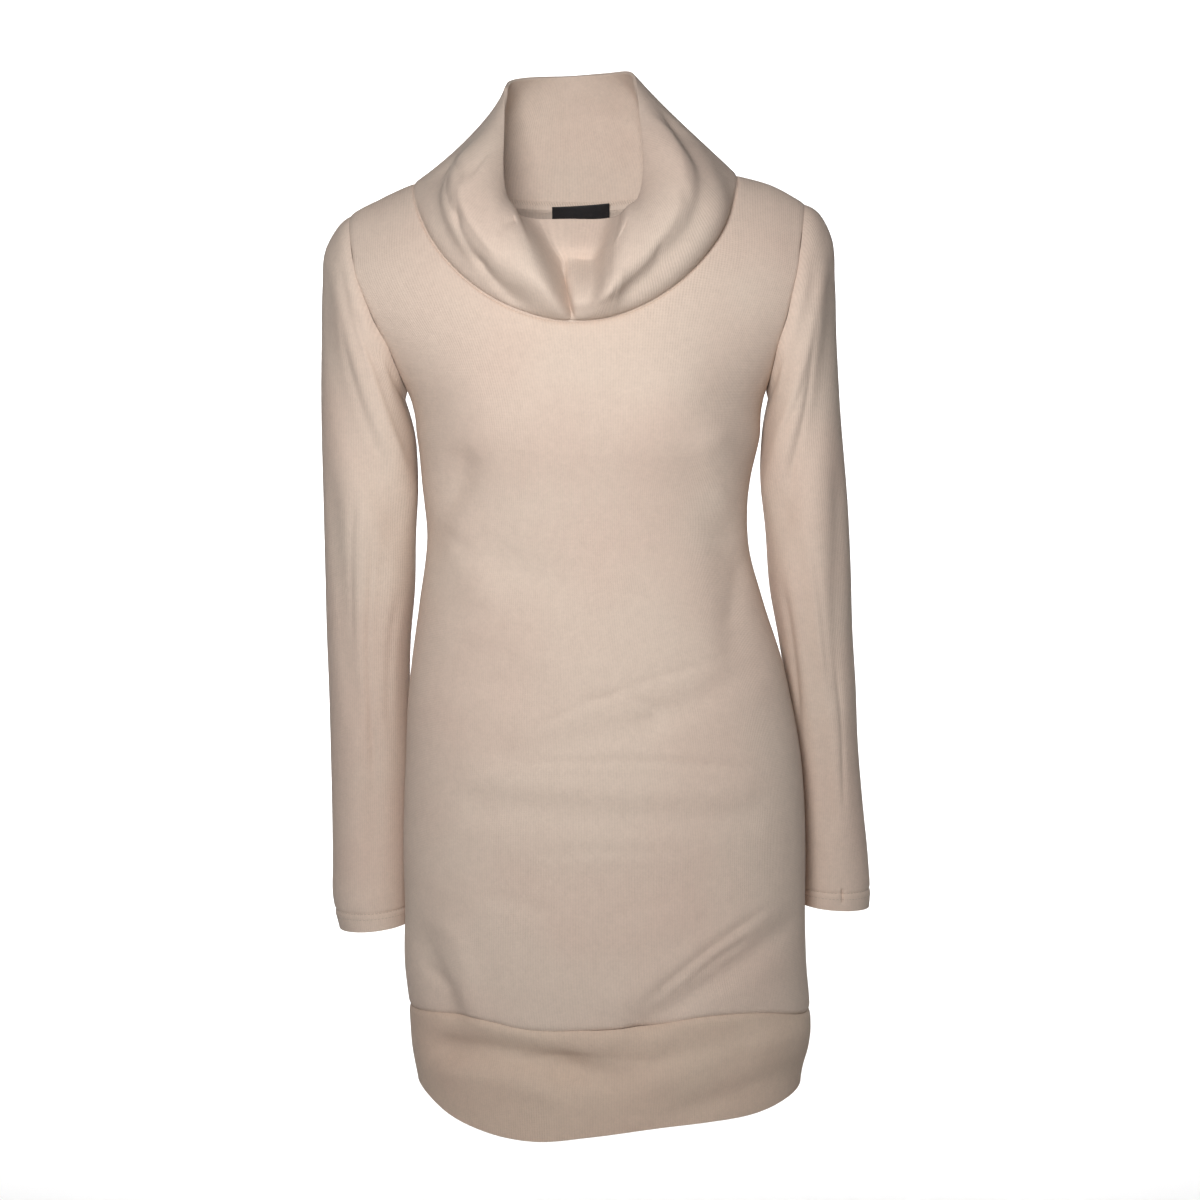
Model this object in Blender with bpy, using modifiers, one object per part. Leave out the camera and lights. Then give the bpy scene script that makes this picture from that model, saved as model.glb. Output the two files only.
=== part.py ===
"""Turtleneck dress with a draped cowl collar, long sleeves and a wide hem band.

The cloth is held as walls of its real thickness, hollow inside, in the form that it has when worn.
Metres, +Z up. The front faces -Y. The origin lies between the shoulder ridges, level with the
sides of the neck, where the shoulders carry the dress.
"""

import bmesh
import bpy
import numpy as np

# Cloth walls and seams
CLOTH = 0.0018
DOUBLED_CLOTH = 0.003
LABEL_CLOTH = 0.001
SEAM_GAP = 0.0003
LEANING_SEAM_GAP = 0.0005
SEAM_STRIP = 0.002
STRIP_SHARE = 0.004
STRIP_ACROSS = 0.012

# Heights and fullness of the body
CHEST_LEVEL = -0.200
UNDER_ARM_LEVEL = -0.190
SIDE_FULLNESS = 0.90
SHOULDER_FULLNESS = 1.10
ARMHOLE_LEAD = 0.030
UNDER_ARM_TURN = 0.07

# Neckline: the sides of the neck lie on the shoulder ridges
NECK_LEFT = -0.151
NECK_RIGHT = 0.130
NECK_SCOOP_POWER = 0.62
FRONT_NECK_LOW = -0.122
BACK_NECK_LOW = -0.0285

# Label at the back of the neck
LABEL_WIDTH = 0.051
LABEL_HEIGHT = 0.036
LABEL_OVER_SEAM = 0.004
LABEL_CENTRE = -0.0105
LABEL_INSET = 0.0024

# Rows and columns of the grids. A panel has steps along each shoulder, its neckline and armholes.
SHOULDER_STEPS, FRONT_NECK_STEPS, BACK_NECK_STEPS = 4, 20, 14
ARMHOLE_STEPS = 10
FRONT_SIDE_ROWS, BACK_SIDE_ROWS = 31, 17
SLEEVE_COLUMNS, SLEEVE_ROWS = 2 * ARMHOLE_STEPS, 26
COLLAR_COLUMNS, COLLAR_ROWS = 60, 13
LABEL_COLUMNS, LABEL_ROWS = 6, 3
FRONT_COLUMNS = FRONT_NECK_STEPS + 2 * SHOULDER_STEPS
BACK_COLUMNS = BACK_NECK_STEPS + 2 * SHOULDER_STEPS
BAND_COLUMNS, BAND_ROWS = FRONT_COLUMNS + BACK_COLUMNS, 6
NECK_STEP_EVENNESS = 1.3
RELAXING_STEPS = 600
GRID_SCALE = np.array((0.28, 1.0))

# Body sections. Above the chest a level is an angle over the shoulder, and 0 is the ridge.
SECTION_COLUMNS = ("level", "left", "right", "front", "back")
SECTIONS = np.array((
    (-0.860, -0.145, 0.183, 0.104, 0.112),
    (-0.801, -0.150, 0.189, 0.106, 0.114),
    (-0.765, -0.156, 0.196, 0.109, 0.117),
    (-0.735, -0.158, 0.197, 0.107, 0.116),
    (-0.691, -0.1625, 0.1936, 0.109, 0.119),
    (-0.637, -0.162, 0.192, 0.110, 0.122),
    (-0.592, -0.163, 0.192, 0.111, 0.125),
    (-0.547, -0.162, 0.1906, 0.112, 0.126),
    (-0.502, -0.160, 0.1867, 0.111, 0.124),
    (-0.457, -0.158, 0.1785, 0.108, 0.118),
    (-0.421, -0.1543, 0.1703, 0.105, 0.111),
    (-0.368, -0.147, 0.1532, 0.099, 0.099),
    (-0.315, -0.1404, 0.1397, 0.096, 0.092),
    (-0.262, -0.1444, 0.141, 0.102, 0.094),
    (-0.225, -0.148, 0.149, 0.110, 0.098),
    (-0.190, -0.156, 0.154, 0.113, 0.102),
    (-0.170, -0.176, 0.170, 0.113, 0.104),
    (-0.140, -0.2103, 0.1973, 0.113, 0.106),
    (-0.110, -0.2324, 0.2144, 0.112, 0.106),
    (-0.070, -0.2360, 0.2165, 0.110, 0.104),
    (-0.030, -0.2360, 0.2170, 0.106, 0.102),
    (0.000, -0.2350, 0.2170, 0.104, 0.100),
))

# The shoulder ridge seen from the front, carried on across the neck
RIDGE_COLUMNS = ("across", "height")
RIDGE = np.array((
    (-0.235, -0.064),
    (-0.205, -0.0325),
    (-0.180, -0.0190),
    (-0.151, -0.006),
    (-0.080, 0.012),
    (0.000, 0.018),
    (0.080, 0.014),
    (0.130, 0.001),
    (0.160, -0.0075),
    (0.1874, -0.0225),
    (0.220, -0.045),
))

# How far an armhole's edge stands from the side line, by level: 1 is the side line, 0 the middle
ARMHOLE_COLUMNS = ("level", "across")
ARMHOLE = np.array((
    (-0.190, 1.00),
    (-0.182, 0.885),
    (-0.168, 0.775),
    (-0.140, 0.673),
    (-0.110, 0.634),
    (-0.070, 0.655),
    (-0.030, 0.668),
    (0.000, 0.671),
))

# The seam of the hem band and the lower edge of the dress, by place across: -1 left, 1 right
HEM_COLUMNS = ("across", "seam", "edge")
FRONT_HEM = np.array((
    (-1.00, -0.7290, -0.796),
    (-0.85, -0.7245, -0.809),
    (-0.65, -0.7240, -0.8165),
    (-0.40, -0.7300, -0.820),
    (-0.10, -0.7285, -0.824),
    (0.20, -0.7245, -0.819),
    (0.50, -0.7190, -0.815),
    (0.80, -0.7230, -0.809),
    (1.00, -0.7340, -0.800),
))
BACK_HEM = np.array((
    (-1.00, -0.7290, -0.796),
    (-0.50, -0.7310, -0.806),
    (0.00, -0.7320, -0.811),
    (0.50, -0.7325, -0.808),
    (1.00, -0.7340, -0.800),
))

# Soft folds of the body seen from the front: two ends, half width and height over the cloth
FOLD_COLUMNS = ("start_x", "start_z", "end_x", "end_z", "width", "height")
FRONT_FOLDS = np.array((
    (-0.088, -0.188, -0.086, -0.205, 0.046, 0.0090),
    (0.072, -0.184, 0.070, -0.200, 0.046, 0.0090),
    (-0.104, -0.245, -0.136, -0.305, 0.016, -0.0065),
    (-0.122, -0.292, -0.090, -0.345, 0.020, 0.0050),
    (-0.095, -0.325, -0.030, -0.340, 0.018, -0.0035),
    (0.106, -0.226, 0.138, -0.305, 0.018, 0.0055),
    (0.124, -0.305, 0.130, -0.400, 0.019, -0.0060),
    (-0.128, -0.418, -0.055, -0.428, 0.020, -0.0050),
    (-0.070, -0.490, 0.055, -0.460, 0.014, -0.0060),
    (0.055, -0.460, 0.146, -0.420, 0.014, -0.0065),
    (-0.095, -0.512, 0.135, -0.524, 0.013, 0.0055),
    (-0.092, -0.535, 0.138, -0.545, 0.013, -0.0065),
    (-0.070, -0.600, 0.100, -0.602, 0.022, -0.0045),
    (0.045, -0.726, 0.175, -0.648, 0.015, -0.0070),
    (0.030, -0.700, 0.150, -0.632, 0.015, 0.0050),
    (-0.144, -0.662, -0.116, -0.720, 0.015, -0.0065),
    (-0.120, -0.656, -0.102, -0.712, 0.014, 0.0045),
    (-0.120, -0.758, -0.020, -0.766, 0.016, -0.0060),
    (-0.020, -0.766, 0.130, -0.752, 0.016, -0.0045),
))
BACK_FOLDS = np.array((
    (-0.115, -0.295, 0.000, -0.330, 0.018, -0.0060),
    (-0.020, -0.352, 0.120, -0.312, 0.019, -0.0060),
    (-0.100, -0.370, 0.070, -0.386, 0.017, 0.0050),
    (-0.125, -0.455, 0.040, -0.492, 0.017, -0.0055),
    (0.010, -0.525, 0.155, -0.485, 0.017, -0.0055),
    (-0.110, -0.640, 0.020, -0.690, 0.018, -0.0050),
    (-0.085, -0.130, 0.010, -0.180, 0.026, -0.0040),
    (-0.040, -0.765, 0.090, -0.760, 0.018, -0.0045),
))

# Sleeve rings from just below the armhole to the cuff: outer and inner edge, front and back depth
RING_COLUMNS = ("outer_x", "outer_z", "inner_x", "inner_z", "front_y", "back_y")
RINGS_WEARERS_RIGHT = np.array((
    (-0.2155, -0.0420, -0.1592, -0.1930, -0.056, 0.060),
    (-0.2262, -0.0600, -0.1580, -0.1990, -0.056, 0.061),
    (-0.2304, -0.0960, -0.1552, -0.2100, -0.053, 0.063),
    (-0.2318, -0.1400, -0.1520, -0.2260, -0.049, 0.065),
    (-0.2326, -0.1840, -0.1505, -0.2480, -0.046, 0.066),
    (-0.2318, -0.2890, -0.1518, -0.3150, -0.040, 0.067),
    (-0.2315, -0.3420, -0.1540, -0.3600, -0.033, 0.070),
    (-0.2314, -0.3960, -0.1585, -0.4050, -0.023, 0.073),
    (-0.2306, -0.4500, -0.1602, -0.4550, -0.012, 0.077),
    (-0.2304, -0.5030, -0.1600, -0.5060, -0.001, 0.081),
    (-0.2302, -0.5570, -0.1605, -0.5590, 0.007, 0.083),
    (-0.2300, -0.6120, -0.1610, -0.6130, 0.008, 0.082),
    (-0.2298, -0.6420, -0.1615, -0.6400, 0.004, 0.081),
    (-0.2235, -0.6690, -0.1620, -0.6630, 0.001, 0.079),
))
RINGS_WEARERS_LEFT = np.array((
    (0.2000, -0.0310, 0.1575, -0.1930, -0.056, 0.060),
    (0.2100, -0.0490, 0.1565, -0.1990, -0.056, 0.061),
    (0.2145, -0.0900, 0.1548, -0.2100, -0.053, 0.063),
    (0.2165, -0.1400, 0.1532, -0.2260, -0.049, 0.065),
    (0.2190, -0.1840, 0.1522, -0.2480, -0.046, 0.066),
    (0.2282, -0.2890, 0.1572, -0.3150, -0.040, 0.067),
    (0.2315, -0.3420, 0.1618, -0.3600, -0.033, 0.070),
    (0.2342, -0.3960, 0.1704, -0.4050, -0.021, 0.075),
    (0.2385, -0.4500, 0.1785, -0.4550, -0.008, 0.080),
    (0.2416, -0.5030, 0.1850, -0.5060, 0.003, 0.084),
    (0.2468, -0.5570, 0.1885, -0.5590, 0.010, 0.085),
    (0.2526, -0.6120, 0.1905, -0.6130, 0.014, 0.083),
    (0.2540, -0.6350, 0.1915, -0.6330, 0.014, 0.081),
    (0.2530, -0.6520, 0.1930, -0.6480, 0.015, 0.079),
))

# Soft folds of a sleeve: angle round it in turns from the outer edge, and share of its length down
SLEEVE_FOLD_COLUMNS = ("start_turn", "start_down", "end_turn", "end_down", "width", "height")
SLEEVE_FOLDS = np.array((
    (0.10, 0.10, 0.34, 0.32, 0.060, -0.0055),
    (0.20, 0.08, 0.42, 0.26, 0.050, 0.0040),
    (0.12, 0.34, 0.20, 0.62, 0.045, -0.0030),
    (0.30, 0.42, 0.26, 0.84, 0.045, -0.0035),
    (0.72, 0.14, 0.58, 0.34, 0.060, -0.0050),
    (0.80, 0.40, 0.74, 0.72, 0.050, -0.0030),
))

# Collar stations round the neck, from the wearer's right side past the front. A turn of 0.25 is
# the middle of the front. Low and high are where the wall swells to, and edge is its top.
STATION_COLUMNS = (
    "turn", "low_x", "low_y", "low_z", "high_x", "high_y", "high_z", "edge_x", "edge_y", "edge_z",
)
COLLAR_STATIONS = np.array((
    (0.000, -0.122, -0.006, 0.012, -0.078, -0.002, 0.052, -0.0700, -0.006, 0.077),
    (0.065, -0.138, -0.076, -0.024, -0.100, -0.080, 0.024, -0.0715, -0.044, 0.038),
    (0.125, -0.124, -0.110, -0.058, -0.098, -0.116, -0.004, -0.0720, -0.066, 0.006),
    (0.170, -0.086, -0.130, -0.088, -0.078, -0.132, -0.026, -0.0690, -0.080, -0.016),
    (0.212, -0.048, -0.142, -0.104, -0.052, -0.140, -0.050, -0.0620, -0.088, -0.027),
    (0.238, -0.024, -0.140, -0.114, -0.040, -0.134, -0.062, -0.0570, -0.082, -0.034),
    (0.245, -0.018, -0.114, -0.113, -0.028, -0.090, -0.068, -0.0440, -0.065, -0.037),
    (0.251, -0.010, -0.132, -0.113, -0.010, -0.082, -0.064, -0.0150, -0.063, -0.037),
    (0.258, 0.000, -0.142, -0.113, 0.010, -0.088, -0.066, 0.0120, -0.064, -0.037),
    (0.266, 0.011, -0.144, -0.112, 0.020, -0.130, -0.064, 0.0270, -0.078, -0.034),
    (0.286, 0.024, -0.144, -0.110, 0.028, -0.140, -0.054, 0.0340, -0.088, -0.027),
    (0.325, 0.056, -0.132, -0.092, 0.056, -0.134, -0.034, 0.0440, -0.080, -0.018),
    (0.375, 0.102, -0.112, -0.058, 0.082, -0.120, -0.006, 0.0480, -0.064, 0.006),
    (0.435, 0.125, -0.080, -0.024, 0.085, -0.084, 0.026, 0.0460, -0.042, 0.040),
    (0.500, 0.106, -0.006, 0.022, 0.062, -0.002, 0.062, 0.0410, -0.004, 0.079),
    (0.570, 0.101, 0.034, 0.014, 0.058, 0.034, 0.066, 0.0360, 0.024, 0.091),
    (0.655, 0.066, 0.064, 0.005, 0.040, 0.062, 0.060, 0.0170, 0.046, 0.0915),
    (0.750, -0.012, 0.074, 0.005, -0.015, 0.072, 0.055, -0.0160, 0.058, 0.090),
    (0.845, -0.086, 0.062, 0.005, -0.066, 0.062, 0.060, -0.0480, 0.047, 0.088),
    (0.930, -0.112, 0.034, 0.008, -0.075, 0.034, 0.056, -0.0660, 0.024, 0.084),
    (1.000, -0.122, -0.006, 0.012, -0.078, -0.002, 0.052, -0.0700, -0.006, 0.077),
))

# Folds of the collar stand off from a place inside it, and less so upwards
COLLAR_MIDDLE = np.array((-0.0105, -0.005, 0.0))
COLLAR_LIFT = 0.35

# Soft folds of the collar: station numbers, shares of the way from seam to edge, metres across them
COLLAR_HEIGHT = 0.10
COLLAR_FOLD_COLUMNS = ("start_station", "start_up", "end_station", "end_up", "width", "height")
COLLAR_FOLDS = np.array((
    (0.40, 0.30, 3.60, 0.16, 0.014, -0.0075),
    (0.90, 0.62, 4.60, 0.46, 0.016, 0.0040),
    (13.6, 0.62, 10.6, 0.26, 0.014, -0.0070),
    (13.2, 0.86, 9.40, 0.44, 0.016, 0.0040),
    (6.80, 0.62, 8.90, 0.66, 0.010, -0.0090),
    (7.40, 0.34, 9.00, 0.42, 0.012, 0.0085),
))


def curve_through(keys, values, at):
    """A smooth curve through rows of values, read at any keys (cubic, slopes from the neighbours)."""
    slopes = np.gradient(values, keys, axis=0)
    index = np.clip(np.searchsorted(keys, at, side="right") - 1, 0, len(keys) - 2)
    step = keys[index + 1] - keys[index]
    part = np.clip((at - keys[index]) / step, 0.0, 1.0)
    shape = part.shape + (1,) * (values.ndim - 1)
    part, step = part.reshape(shape), step.reshape(shape)
    return (
        values[index] * (1 + 2 * part) * (1 - part) ** 2
        + slopes[index] * step * part * (1 - part) ** 2
        + values[index + 1] * part**2 * (3 - 2 * part)
        - slopes[index + 1] * step * part**2 * (1 - part)
    )


def read_table(table, at):
    """All columns of a table but its first, at any values of the first."""
    return curve_through(table[:, 0], table[:, 1:], at)


def fold_height(across, up, folds):
    """Sum of soft ridges and troughs. Each is highest along a line and fades like a bell beside it."""
    total = np.zeros_like(across)
    for start_across, start_up, end_across, end_up, width, height in folds:
        run, rise = end_across - start_across, end_up - start_up
        along = ((across - start_across) * run + (up - start_up) * rise) / (run**2 + rise**2)
        along = np.clip(along, 0.0, 1.0)
        away = np.hypot(across - start_across - along * run, up - start_up - along * rise)
        total += height * np.exp(-((away / width) ** 2))
    return total


def fold_height_round(turn, up, folds, whole):
    """The same on a tube, where a turn that is whole comes back to its start."""
    return sum(fold_height(turn + shift, up, folds) for shift in (-whole, 0.0, whole))


def ridge_height(x):
    return read_table(RIDGE, x)[..., 0]


def across_of(x, level):
    """The place across the body at which its cloth has this x."""
    left, right = np.moveaxis(read_table(SECTIONS, level), -1, 0)[:2]
    return np.arcsin(((2 * x - left - right) / (right - left)).clip(-1, 1)) * 2 / np.pi


def x_of(across, level):
    left, right = np.moveaxis(read_table(SECTIONS, level), -1, 0)[:2]
    return (left + right) / 2 + (right - left) / 2 * np.sin(across * np.pi / 2)


def body_point(across, level, face):
    """A point of the body's cloth. Across goes from -1 to 1, face is -1 in front and 1 behind."""
    front, back = np.moveaxis(read_table(SECTIONS, level), -1, 0)[2:]
    angle = across * np.pi / 2
    x = x_of(across, level)
    over = np.clip(1 - level / CHEST_LEVEL, 0.0, 1.0) * np.pi / 2
    above = (ridge_height(x) - CHEST_LEVEL) * np.sin(over)
    z = np.where(level < CHEST_LEVEL, level, CHEST_LEVEL + above)
    depth = np.where(face < 0, front, back)
    y = face * depth * np.cos(angle).clip(0) ** SIDE_FULLNESS * np.cos(over).clip(0) ** SHOULDER_FULLNESS
    fold = fold_height(x, z, FRONT_FOLDS) if face < 0 else fold_height(x, z, BACK_FOLDS)
    aside = fold * np.sin(angle) * np.abs(np.cos(angle))
    return np.stack((x + aside, y + face * fold * np.cos(angle), z), -1)


def neckline(place, face, inset=0.0):
    """(across, level) on the neckline, for places from -1 at the left of the neck to 1 at the right.

    An inset draws it in, past the edge of the panels, and less than 0 draws it out over them.
    """
    ends_x = np.array((NECK_LEFT + inset, NECK_RIGHT - inset))
    x = ends_x.mean() + (ends_x[1] - ends_x[0]) / 2 * place
    ends = ridge_height(ends_x)
    top = ends[0] + (ends[1] - ends[0]) * (place + 1) / 2
    low = (FRONT_NECK_LOW if face < 0 else BACK_NECK_LOW) + inset
    z = top - (top - low) * (1 - place**2).clip(0) ** NECK_SCOOP_POWER
    over = np.arcsin(((z - CHEST_LEVEL) / (ridge_height(x) - CHEST_LEVEL)).clip(-1, 1))
    level = CHEST_LEVEL * (1 - over * 2 / np.pi)
    return across_of(x, level), level


def with_strips(v, rows):
    """Rows for a piece that is sewn at both ends: its first and last rows are narrow strips."""
    return np.interp(v * rows, (0, 1, rows - 1, rows), (0, STRIP_SHARE, 1 - STRIP_SHARE, 1))


def neck_places(steps):
    """Places along a neckline at a panel's columns, closer together towards the middle."""
    share = np.linspace(-1, 1, steps + 1)
    turn = NECK_STEP_EVENNESS * share + (1 - NECK_STEP_EVENNESS) * share**3
    return np.sin(turn * np.pi / 2)


def armhole_level(turn):
    """The level at a turn round an armhole: 0 is the shoulder, 0.5 is below the arm."""
    return UNDER_ARM_LEVEL * (1 - np.cos(turn * 2 * np.pi)) / 2


def places_across(columns):
    """Places across a panel's foot, with narrow strips beside the side seams."""
    return np.concatenate(([-1.0], np.linspace(STRIP_ACROSS - 1, 1 - STRIP_ACROSS, columns - 1), [1.0]))


def panel_edges(face):
    """(across, level) down both sides of a body panel, and along its foot and its top.

    A side is the side seam and then the armhole. The top is a shoulder seam, the neckline and the
    other shoulder seam. The first and last rows are narrow strips beside the seams.
    """
    neck_steps = FRONT_NECK_STEPS if face < 0 else BACK_NECK_STEPS
    side_rows = FRONT_SIDE_ROWS if face < 0 else BACK_SIDE_ROWS
    hem_table = FRONT_HEM if face < 0 else BACK_HEM
    foot_across = places_across(neck_steps + 2 * SHOULDER_STEPS)
    foot_level = read_table(hem_table, np.sin(foot_across * np.pi / 2))[:, 0] + SEAM_GAP / 2
    armhole = armhole_level(np.linspace(0.5, 0, ARMHOLE_STEPS + 1)[1:])
    up_side = np.concatenate(([0.0], np.linspace(STRIP_SHARE, 1.0, side_rows)))
    side_across = np.append(np.ones(side_rows + 1), read_table(ARMHOLE, armhole)[:, 0])
    sides = []
    for side, start in ((-1, foot_level[0]), (1, foot_level[-1])):
        levels = np.append(start + (UNDER_ARM_LEVEL - start) * up_side, armhole)
        sides.append(np.stack((side * side_across, levels), -1))
    tops = []
    for drawn_out, level in ((SEAM_STRIP, armhole[-2]), (0.0, 0.0)):
        neck_across, neck_level = neckline(neck_places(neck_steps), face, -drawn_out)
        neck_level = np.minimum(neck_level, level)
        outer = side_across[-1]
        left = np.linspace(STRIP_ACROSS - outer, neck_across[0], SHOULDER_STEPS)[:-1]
        right = np.linspace(neck_across[-1], outer - STRIP_ACROSS, SHOULDER_STEPS)[1:]
        across = np.concatenate(([-outer], left, neck_across, right, [outer]))
        tops.append(np.stack((across, np.pad(neck_level, SHOULDER_STEPS, constant_values=level)), -1))
    return *sides, np.stack((foot_across, foot_level), -1), *tops


def relaxed(grid):
    """Inner points drawn towards their neighbours' mean, with weights that keep the lines from crossing."""
    above, below = grid[2:, 1:-1], grid[:-2, 1:-1]
    after, before = grid[1:-1, 2:], grid[1:-1, :-2]
    rise, run = (above - below) * GRID_SCALE, (after - before) * GRID_SCALE
    along = np.sum(run * run, -1, keepdims=True)
    across = np.sum(rise * rise, -1, keepdims=True)
    skew = np.sum(run * rise, -1, keepdims=True)
    corners = grid[2:, 2:] - grid[2:, :-2] - grid[:-2, 2:] + grid[:-2, :-2]
    drawn = across * (after + before) + along * (above + below) - skew * corners / 2
    return drawn / (2 * (across + along))


def panel_grid(face):
    """(across, level) at each row and column of a body panel, spread evenly between its edges."""
    left, right, foot, top_strip, top = panel_edges(face)
    up = np.linspace(0, 1, len(left))[:, None, None]
    aside = np.linspace(0, 1, len(foot))[None, :, None]
    grid = (1 - up) * foot + up * top + (1 - aside) * left[:, None] + aside * right[:, None]
    grid -= (1 - up) * ((1 - aside) * foot[0] + aside * foot[-1])
    grid -= up * ((1 - aside) * top[0] + aside * top[-1])
    grid[1, 1:-1] = foot[1:-1] + (left[1] - left[0])
    grid[-2, 1:-1] = top_strip[1:-1]
    grid[2:-2, 1] = left[2:-2] + (STRIP_ACROSS, 0)
    grid[2:-2, -2] = right[2:-2] - (STRIP_ACROSS, 0)
    for _ in range(RELAXING_STEPS):
        grid[2:-2, 2:-2] = relaxed(grid[1:-1, 1:-1])
    return grid


def panel(u, v, face):
    grid = panel_grid(face)
    rows, columns = np.subtract(grid.shape[:2], 1)
    across, level = np.moveaxis(grid[np.rint(v * rows).astype(int), np.rint(u * columns).astype(int)], -1, 0)
    points = body_point(across, level, face)
    points[..., 1] += face * LEANING_SEAM_GAP / 2
    return points


def front_panel(u, v):
    return panel(u, v, -1)


def back_panel(u, v):
    return panel(1 - u, v, 1)


def armhole_point(turn, side, inside=1.0):
    """A point of an armhole: turn 0 is the shoulder, 0.25 the front, 0.5 below the arm.

    Inside 1 is the edge, and less is on the panel beside it.
    """
    level = armhole_level(turn)
    across = side * read_table(ARMHOLE, level)[..., 0] * inside
    front, back = body_point(across, level, -1), body_point(across, level, 1)
    return np.where((turn < 0.5)[..., None], front, back)


def unit(vectors):
    return vectors / np.linalg.norm(vectors, axis=-1, keepdims=True)


def armhole_way(turn, side):
    """The way that a panel's cloth points past its armhole, turned straight out below the arm."""
    hole = armhole_point(turn, side)
    along = unit(armhole_point((turn + 0.01) % 1, side) - armhole_point((turn - 0.01) % 1, side))
    out = hole - armhole_point(turn, side, 0.85)
    out -= np.sum(out * along, axis=-1, keepdims=True) * along
    below = np.exp(-(((turn - 0.5) / UNDER_ARM_TURN) ** 2))[..., None]
    return unit(unit(out) * (1 - below) + np.array((side, 0.0, 0.0)) * below)


def sleeve(turn, v, side, rings):
    """A sleeve from cuff to armhole: rings between its outer and inner edges, led into the armhole."""
    hole = armhole_point(turn, side)
    every = armhole_point(np.linspace(0, 1, 33)[:-1], side)
    top, low = every[0], every[16]
    first = np.array((top[0], top[2], low[0], low[2], every[:, 1].min(), every[:, 1].max()))
    table = np.vstack((first, rings))
    lengths = np.hypot(np.diff(table[:, 0] + table[:, 2]), np.diff(table[:, 1] + table[:, 3])) / 2
    keys = np.concatenate(([0.0], np.cumsum(lengths)))
    up = with_strips(v, SLEEVE_ROWS)
    down = (1 - up) * keys[-1]

    def ring(columns, folds):
        outer_x, outer_z, inner_x, inner_z, front_y, back_y = np.moveaxis(columns, -1, 0)
        angle = turn * 2 * np.pi
        out = (1 + np.cos(angle)) / 2
        x = inner_x + (outer_x - inner_x) * out + side * folds * np.cos(angle)
        y = (front_y + back_y) / 2 - ((back_y - front_y) / 2 + folds) * np.sin(angle)
        z = inner_z + (outer_z - inner_z) * out
        return np.stack((x, y, z), -1)

    folds = fold_height_round(turn, 1 - up, SLEEVE_FOLDS, 1.0) * np.sin(np.pi * up) ** 0.5
    way = armhole_way(turn, side)
    below = np.exp(-(((turn - 0.5) / UNDER_ARM_TURN) ** 2))[..., None]
    start = hole + way * (SEAM_GAP + CLOTH * 0.6 * below)
    lead = np.exp(-((down / ARMHOLE_LEAD) ** 2))[..., None]
    points = ring(curve_through(keys, table, down), folds) + lead * (start - ring(first, 0.0))
    strip = start + way * SEAM_STRIP
    points = np.where((v > 1 - 1.5 / SLEEVE_ROWS)[..., None], strip, points)
    return np.where((v > 1 - 0.5 / SLEEVE_ROWS)[..., None], start, points)


def sleeve_wearers_right(u, v):
    return sleeve(u, v, -1, RINGS_WEARERS_RIGHT)


def sleeve_wearers_left(u, v):
    return sleeve(1 - u, v, 1, RINGS_WEARERS_LEFT)


def neck_seam(turn, inset):
    """The neckline all round: turn 0 is the left of the neck, 0.25 the front, 0.75 the back.

    It runs straight between the panels' columns, as the panels' own edges do.
    """
    front_places, back_places = neck_places(FRONT_NECK_STEPS), neck_places(BACK_NECK_STEPS)[::-1]
    front = body_point(*neckline(front_places, -1, inset), -1)
    back = body_point(*neckline(back_places, 1, inset), 1)
    seam = np.vstack((front, back[1:]))
    front_turns = np.arccos(-front_places) / (2 * np.pi)
    back_turns = 1 - np.arccos(-back_places) / (2 * np.pi)
    turns = np.append(front_turns, back_turns[1:])
    return np.stack([np.interp(turn, turns, seam[:, axis]) for axis in range(3)], -1)


def round_collar(station):
    """Metres round the collar at a station, measured half way up its wall."""
    places = (COLLAR_STATIONS[:, 1:3] + COLLAR_STATIONS[:, 4:6]) / 2
    metres = np.append(0.0, np.cumsum(np.linalg.norm(np.diff(places, axis=0), axis=1)))
    return np.interp(station, np.arange(len(metres)), metres)


def collar(u, v):
    """The collar's wall: from the seam it swells through two places of its station to the edge.

    Its first row carries the panels' own surface on past the seam.
    """
    stations = len(COLLAR_STATIONS) - 1
    at = u * stations
    columns = curve_through(np.arange(stations + 1.0), COLLAR_STATIONS, at)
    turn = columns[..., 0].clip(0, 1)
    edge_row, strip_row = neck_seam(turn, LEANING_SEAM_GAP), neck_seam(turn, SEAM_STRIP)
    low, high, edge = columns[..., 1:4], columns[..., 4:7], columns[..., 7:10]
    up = ((v * COLLAR_ROWS - 1) / (COLLAR_ROWS - 1)).clip(0, 1)
    t = up[..., None]
    wall = (1 - t) ** 3 * strip_row + 3 * t * (1 - t) ** 2 * low
    wall += 3 * t**2 * (1 - t) * high + t**3 * edge
    away = (wall - COLLAR_MIDDLE) * (1.0, 1.0, COLLAR_LIFT)
    folds = COLLAR_FOLDS.copy()
    folds[:, :4] = np.stack((round_collar(folds[:, 0]), folds[:, 1] * COLLAR_HEIGHT,
                             round_collar(folds[:, 2]), folds[:, 3] * COLLAR_HEIGHT), -1)
    lift = fold_height_round(round_collar(at), up * COLLAR_HEIGHT, folds, round_collar(stations))
    wall += unit(away) * (lift * np.sin(np.pi * up) ** 0.5)[..., None]
    return np.where((v < 0.5 / COLLAR_ROWS)[..., None], edge_row, wall)


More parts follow.
